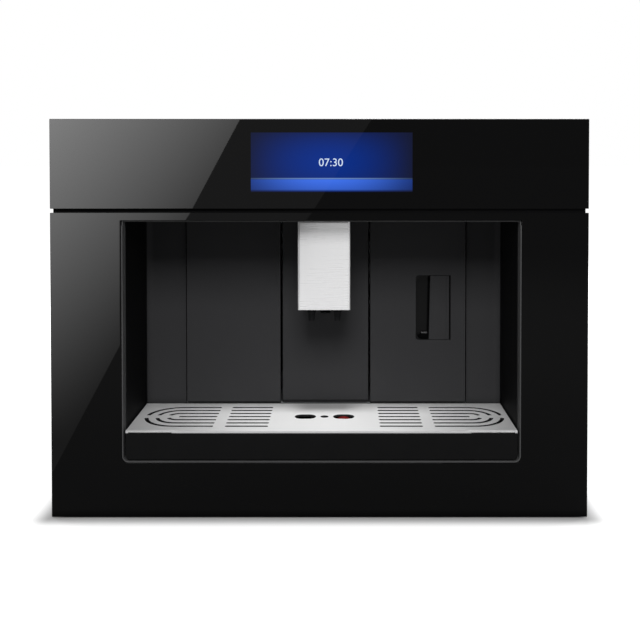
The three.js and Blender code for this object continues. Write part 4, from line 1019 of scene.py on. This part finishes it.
def addHatch():
    x, y, z = boxOf("service_hatch")
    door = roundedBlock("serviceHatch", x, y, z, "X", hatch["corner"])
    middle = (z[0] + z[1]) / 2
    lowest = middle - (hatch["grooves"] - 1) / 2 * hatch["groovePitch"]
    groove = roundedBlock("cutter", (x[0] - 1, x[0] + 0.5),
                          (y[0] + hatch["grooveStart"], y[1] - hatch["grooveEnd"]),
                          around(lowest, hatch["groove"]), "X", 1.5)
    carve(door, *copies(groove, [(0, 0, i * hatch["groovePitch"]) for i in range(hatch["grooves"])]))
    soften(door, 0.3)
    rim = pressedRing("hatchRim", (x[0] - 0.9, x[0] + 0.4), grown(y, -hatch["ridgeInset"]),
                      grown(z, -hatch["ridgeInset"]), "X", hatch["ridge"], 6)
    latchY = y[0] + hatch["latchInset"]
    turn = addRod("latch", hatch["latch"], (x[0] - hatch["latchRise"] / 2, latchY, middle), "X",
                  hatch["latchRise"], 40)
    soften(turn, 0.6, 3)
    carve(turn, addBlock("cutter", (x[0] - 4, x[0] - 1), around(latchY, hatch["latchSlot"]),
                         around(middle, 2)))
    length = hatch["hingeLength"]
    heights = [z[0] + hatch["hingeInset"], z[1] - hatch["hingeInset"] - length]
    knuckle = addRod("knuckle", hatch["knuckle"], (x[0], y[1], heights[0] + length / 4), "Z",
                     length / 2 - 0.3, 20)
    soften(knuckle, 0.3)
    hung = copies(knuckle, [(0, 0, height) for height in heights])
    fixed = [twin(piece, "hatchHinge", (0, 0, length / 2)) for piece in hung]
    finishPiece(fuse(door, rim, turn, *hung), "hatch", "dark_plastic", "service_hatch")
    leaf = addBlock("leaf", (x[0] - 0.7, x[0] + 0.3), (y[1] + 1, y[1] + 12),
                    (heights[0], heights[0] + length))
    leaves = copies(soften(leaf, 0.25), [(0, 0, height) for height in heights])
    finishPiece(fuse(*fixed, *leaves), "machine", "galvanised")


lids = {"corner": 6, "rim": 4, "rise": 1.1, "barrel": 2.1, "grip": 3.2, "gripDepth": 7}


# a flat lid with a raised rim and a finger bar at the front, hinged along its rear edge
def addLid(node, name, body, slot, gripWidth):
    x, y, z = boxOf(node)
    lid = roundedBlock(name, x, y, z, "Z", lids["corner"])
    soften(lid, 0.6, 3)
    middle = (x[0] + x[1]) / 2
    rim = pressedRing("lidRim", grown(x, -2.5), (y[0] + 2.5, y[1] - 6), (z[1] - 0.5, z[1] + lids["rise"]),
                      "Z", lids["rim"], 7)
    bar = roundedBlock("lidBar", around(middle, gripWidth),
                       (y[0] + 9, y[0] + 9 + lids["gripDepth"]), (z[1] - 0.5, z[1] + lids["grip"]), "Z", 3.2)
    soften(bar, 1.2, 4)
    length = gripWidth * 0.3
    centres = [middle - gripWidth * 0.6, middle + gripWidth * 0.6]
    barrel = soften(addRod("barrel", lids["barrel"], (centres[0], y[1], z[1]), "X", length, 20), 0.3)
    hung = copies(barrel, [(centres[0], 0, 0), (centres[1], 0, 0)])
    fixed = [twin(piece, "lidHinge", (sign * (length + 0.6), 0, 0)) for piece, sign in zip(hung, (1, -1))]
    leaf = addBlock("leaf", (centres[0] + length / 2, centres[0] + 1.5 * length), (y[1] + 0.5, y[1] + 9),
                    (z[0] - 0.2, z[0] + 0.8))
    leaves = copies(soften(leaf, 0.25), [(0, 0, 0), (centres[1] - centres[0] - 2 * length, 0, 0)])
    finishPiece(fuse(lid, rim, bar, *hung), body, slot, node)
    finishPiece(fuse(*fixed, *leaves), "machine", "dark_plastic")


knob = {"sides": 72, "knurl": 0.7, "dish": 0.9, "rim": 3, "stem": 5, "pointer": 1.8, "ticks": 11,
        "tickInner": 20.6, "tickShortest": 1.2, "tickOuter": 23.8, "tickWidth": 1.5, "firstTurn": -90,
        "sweep": 270}


def addKnob():
    x, y, z = boxOf("grind_knob")
    centre = (sum(x) / 2, sum(y) / 2)
    radius = (x[1] - x[0]) / 2
    foot = boxOf("bean_lid")[2][0]
    head = addRod("grindKnob", radius, (*centre, (foot + z[1]) / 2), "Z", z[1] - foot, knob["sides"])
    step = 2 * math.pi / knob["sides"]
    pickFaces(head, lambda c, n: abs(n.z) < 0.1 and round(math.atan2(n.y, n.x) / step - 0.5) % 3 == 0)
    bpy.ops.mesh.inset(thickness=0.35 * mm, use_individual=True)
    bpy.ops.mesh.extrude_faces_move(TRANSFORM_OT_shrink_fatten={"value": knob["knurl"] * mm})
    leaveEdit()
    pickFaces(head, lambda c, n: n.z > 0.9)
    bpy.ops.mesh.inset(thickness=knob["rim"] * mm)
    bpy.ops.mesh.extrude_region_move(TRANSFORM_OT_translate={"value": (0, 0, -knob["dish"] * mm)})
    leaveEdit()
    soften(head, 0.3, 2)
    stem = addRod("stem", knob["stem"], (*centre, (z[0] + foot) / 2), "Z", foot - z[0] + 1, 24)
    finishPiece(fuse(head, soften(stem, 0.5)), "knob", "dark_plastic", "grind_knob")
    pointer = addBlock("knobPointer", around(centre[0], knob["pointer"]), (y[0] + 4, y[0] + 11),
                       around(z[1] - knob["dish"], 0.6))
    finishPiece(soften(pointer, 0.2), "knob", "dark_plastic", finish="mark")
    top = boxOf("top_cover")[2][1]
    ticks = []
    shortest = knob["tickInner"] + knob["tickShortest"]
    for i in range(knob["ticks"]):
        share = i / (knob["ticks"] - 1)  # the marks get longer with the turn
        end = shortest + (knob["tickOuter"] - shortest) * share
        tick = addBlock("tick", (knob["tickInner"], end), around(0, knob["tickWidth"]),
                        (top - 0.1, top + 0.2))
        tick.rotation_euler = (0, 0, math.radians(knob["firstTurn"] + knob["sweep"] * share))
        tick.location = (centre[0] * mm, centre[1] * mm, 0)
        activate(tick)
        ticks.append(settle("tick"))
    finishPiece(fuse(*ticks), "machine", "galvanised", finish="inkAndPaintedShade")


inlet = {"edge": 0.35, "socketX": 13, "pins": (-5, 0, 5), "pinReach": 1.3, "pinBack": 17.8, "pinFront": 3,
         "pinHeights": 7, "rockerEdge": 0.6, "markShift": 4.6, "offRadius": 1.7, "offLine": 0.28,
         "onMark": (0.55, 3.6, 0.3)}


def addInlet():
    x, y, z = boxOf("power_inlet")
    housing = refine("power_inlet", inlet["edge"])
    finishPiece(housing, "machine", "dark_plastic", "power_inlet")
    pins = [x[0] + inlet["socketX"] + shift for shift in inlet["pins"]]
    low, high = grown(z, -inlet["pinHeights"])
    paintFaces(housing, lambda c, n: min(abs(c.x - pin) for pin in pins) < inlet["pinReach"] and
               y[1] - inlet["pinBack"] < c.y < y[1] - inlet["pinFront"] and low < c.z < high and
               abs(c.x - x[0] - inlet["socketX"]) < 7, "steel")
    rocker = refine("power_rocker", inlet["rockerEdge"], 3)
    face = max(rocker.data.polygons, key=lambda face: face.area * (face.normal.y > 0.8))
    normal, middle = face.normal.copy(), face.center.copy()
    up = Vector((0, 0, 1)) - normal * normal.z
    turned = normal.to_track_quat("Z", "Y").to_euler()
    finishPiece(rocker, "rocker", "gloss_black", "power_rocker")
    for name, side in (("offMark", 1), ("onMark", -1)):
        deselectAll()
        place = middle + up.normalized() * side * inlet["markShift"] * mm + normal * 0.02 * mm
        if name == "offMark":
            bpy.ops.mesh.primitive_torus_add(
                major_radius=inlet["offRadius"] * mm, minor_radius=inlet["offLine"] * mm, major_segments=32,
                minor_segments=8, location=place, rotation=turned)
        else:
            bpy.ops.mesh.primitive_cube_add(size=1, location=place, rotation=turned,
                                            scale=[a * mm for a in inlet["onMark"]])
        mark = settle(name)
        finishPiece(mark if name == "offMark" else soften(mark, 0.08), "rocker", "gloss_black", finish="mark")


addSides()
addTop()
addRear()
addHatch()
addLid("bean_lid", "beanLid", "hopper_lid", "clear_plastic", 46)
addLid("ground_coffee_lid", "groundCoffeeLid", "funnel_lid", "dark_plastic", 15)
addKnob()
addInlet()
print("casing made")

# runners and the mounting base

rails = {"edge": 0.2, "hole": 4, "innerShare": 0.8, "holes": (-150, -90, -30, 30, 90, 140), "sheet": 1.6,
         "slotLength": 18, "slotWidth": 6.4, "slotsX": (-228, 228), "slotsY": (-150, -20, 110),
         "flangeCorner": 10, "ring": ((-195, 195), (-130, 150)), "ribs": (-100, -60, -20, 20, 60, 100),
         "ribSpan": (-155, 155)}


def addRails():
    for name in ("left", "right"):
        for kind, body in (("inner", "machine"), ("middle", "runner_middles"), ("outer", "mounting_frame")):
            node = "runner_" + kind + "_" + name
            x, _, z = boxOf(node)
            rail = refine(node, 0)
            radius = rails["hole"] * (rails["innerShare"] if kind == "inner" else 1)
            places = [(sum(x) / 2, along, sum(z) / 2) for along in rails["holes"]]
            carve(rail, *copies(addRod("cutter", radius, places[0], "X", 20, 24), places))
            finishPiece(soften(rail, rails["edge"]), body, "galvanised", node)
    z = boxOf("mounting_base")[2]
    base = refine("mounting_base", 0)
    top = z[0] + rails["sheet"]
    places = [(across, along, 0) for across in rails["slotsX"] for along in rails["slotsY"]]
    slot = roundedBlock("cutter", around(places[0][0], rails["slotLength"]),
                        around(places[0][1], rails["slotWidth"]), (z[0] - 1, top + 1), "Z",
                        rails["slotWidth"] / 2 * 0.95)
    carve(base, *copies(slot, places))
    for sign in (-1, 1):
        roundEdges(base, lambda m, d: abs(d.x) > 0.9 and m.z > z[1] - 0.1 and abs(m.x) > 270 and
                   m.y * sign > 150, rails["flangeCorner"])
    stand = (top - 0.5, top + casing["proud"])
    ribs = pressedRibs("baseRib", rails["ribSpan"], around(rails["ribs"][0], pressing["rib"]), stand, "Z",
                       [(0, place, 0) for place in rails["ribs"]])
    ring = pressedRing("baseBead", *rails["ring"], stand, "Z", pressing["bead"], pressing["beadCorner"])
    fuse(soften(base, 0.3), ring, *ribs)
    finishPiece(base, "mounting_frame", "galvanised", "mounting_base")


addRails()
print("rails made")

# the tank, the bin and the metal parts inside

inner = {"ringProud": 1.0, "ring": 6, "ringCorner": 12, "floorGap": 0.3, "levels": 6, "levelPitch": 17,
         "levelStart": 38, "levelReach": (10, 16), "threadRadius": 5.15, "threadPitch": 2.5,
         "threadTurns": 38, "band": 0.8, "bandWidth": 7, "bands": (20, 78), "boltCircle": 16, "bolts": 6}


# both boxes have a moulded ring on each side, above the shelf's guides
def addSideRings(box, x, y, z):
    rings = [pressedRing("sideRing", sorted((face - side * 0.5, face + side * inner["ringProud"])), y, z, "X",
                         inner["ring"], inner["ringCorner"]) for face, side in zip(x, (-1, 1))]
    return fuse(box, *rings)


def addContainers():
    lift = grille["lipRise"] + inner["floorGap"]
    for node, body, slot, rise in (("grounds_bin", "grounds_drawer", "dark_plastic", 74),
                                   ("water_tank", "tank_drawer", "clear_plastic", 120)):
        x, y, z = boxOf(node)
        box = refine(node, 0)
        # it slides out over the grille's lips, so its floor sits a little higher
        nudge(box, lambda c, n: n.z < -0.9 and c.z < z[0] + 0.1, (0, 0, lift))
        addSideRings(soften(box, 0.7), x, grown(y, -12), (z[0] + 25, z[0] + 25 + rise * 0.85))
        finishPiece(box, body, slot, node)
    x, _, z = boxOf("water_tank")
    levels = []
    for i in range(inner["levels"]):
        height = z[0] + inner["levelStart"] + i * inner["levelPitch"]
        reach = inner["levelReach"][i % 2]
        levels.append(addBlock("level", (x[1] - 0.1, x[1] + 0.25), (-40, -40 + reach), around(height, 1)))
    finishPiece(fuse(*levels), "tank_drawer", "clear_plastic", finish="mark")
    x, y, z = boxOf("tank_lid")
    middle = (sum(x) / 2, sum(y) / 2)
    rim = pressedRing("tankRim", grown(x, -4), grown(y, -4), (z[1] - 0.5, z[1] + 1.1), "Z", 4, 9)
    tab = soften(roundedBlock("tankTab", around(middle[0], 40), (y[0] + 13, y[0] + 21),
                              (z[1] - 0.5, z[1] + 3), "Z", 3.6), 1.1, 4)
    finishPiece(fuse(refine("tank_lid", 0.8), rim, tab), "tank_drawer", "dark_plastic", "tank_lid")


def addMetalParts():
    x, y, z = boxOf("brew_spindle")
    low = z[0] + 10
    pitch = inner["threadPitch"]
    ring = addRod("thread", inner["threadRadius"], (sum(x) / 2, sum(y) / 2, low), "Z", pitch * 0.6, 20)
    rings = copies(soften(ring, 0.35), [(0, 0, low + i * pitch) for i in range(inner["threadTurns"])])
    finishPiece(fuse(refine("brew_spindle", 0.3), *rings), "spindle", "burr_steel", "brew_spindle")

    x, y, z = boxOf("boiler")
    middle = (sum(x) / 2, sum(y) / 2)
    places = [(*middle, z[0] + height) for height in inner["bands"]]
    band = addRod("band", (x[1] - x[0]) / 2 + inner["band"], places[0], "Z", inner["bandWidth"], 48)
    bands = copies(soften(band, 0.3), places)
    bolt = soften(addRod("bolt", 2.4, (middle[0] + inner["boltCircle"], middle[1], z[1]), "Z", 3.6, 6), 0.3)
    angles = [i * 2 * math.pi / inner["bolts"] for i in range(inner["bolts"])]
    ring = [(math.cos(angle) * inner["boltCircle"], math.sin(angle) * inner["boltCircle"], 0)
            for angle in angles]
    post = soften(addRod("terminal", 2, (middle[0] - 9, middle[1] - 18, z[1] + 1), "Z", 9, 20), 0.4)
    posts = copies(post, [(-9, 0, 0), (9, 0, 0)])
    parts = [*bands, *copies(bolt, ring), *posts]
    finishPiece(fuse(refine("boiler", 1.0), *parts), "machine", "aluminium", "boiler")

    x, y, z = boxOf("grinder_motor")
    middle = (sum(x) / 2, sum(y) / 2)
    boss = soften(addRod("boss", 7, (*middle, z[0] - 0.5), "Z", 4, 32), 0.5)
    heads = addScrews([(middle[0] + 15 * math.cos(turn), middle[1] + 15 * math.sin(turn), z[0])
                       for turn in (0.5, 2.6, 4.7)], "Z", -1)
    finishPiece(fuse(refine("grinder_motor", 0.8), boss, *heads), "machine", "galvanised", "grinder_motor")


addContainers()
addMetalParts()
print("inner parts made")

# everything else: the CAD nodes with softened edges

softEdges = {
    "machine": {
        "dark_plastic": {"front_carrier": 0.6, "tank_coupling": 0.6, "grinder_housing": 0.5,
                         "ground_coffee_funnel": 0.4, "brew_frame": 0.5, "brew_chamber": 0.5,
                         "flow_meter": 0.5},
        "screen": {"display_module": 0.5},
        "board": {"control_board": 0.2, "power_board": 0.3},
        "galvanised": {"tray_shelf": 0.25, "drawer_shelf": 0.25, "brew_motor": 0.6,
                       "water_pump": 0.8, "base_pan": 0.25},
        "clear_plastic": {"bean_hopper": 0.6},
        "burr_steel": {"ring_burr": 0.4},
        "hose_rubber": {"tank_hose": 0, "brew_hose": 0},
    },
    "piston": {"aluminium": {"brew_piston": 0.5}},
    "driven_burr": {"burr_steel": {"cone_burr": 0.4}},
}


# two nodes look other than their slot says: the display module is dark plastic, and the front carrier, seen
# in the gap between the glass panes, gets the near-black finish as painted shade
otherFinish = {"display_module": "dark_plastic", "front_carrier": "inkAndPaintedShade"}


def addRest():
    for body, slots in softEdges.items():
        for slotName, nodes in slots.items():
            for node, width in nodes.items():
                finishPiece(refine(node, width), body, slotName, node, finish=otherFinish.get(node))


addRest()
print("inner parts finished")

bpy.context.scene.view_settings.view_transform = "Standard"
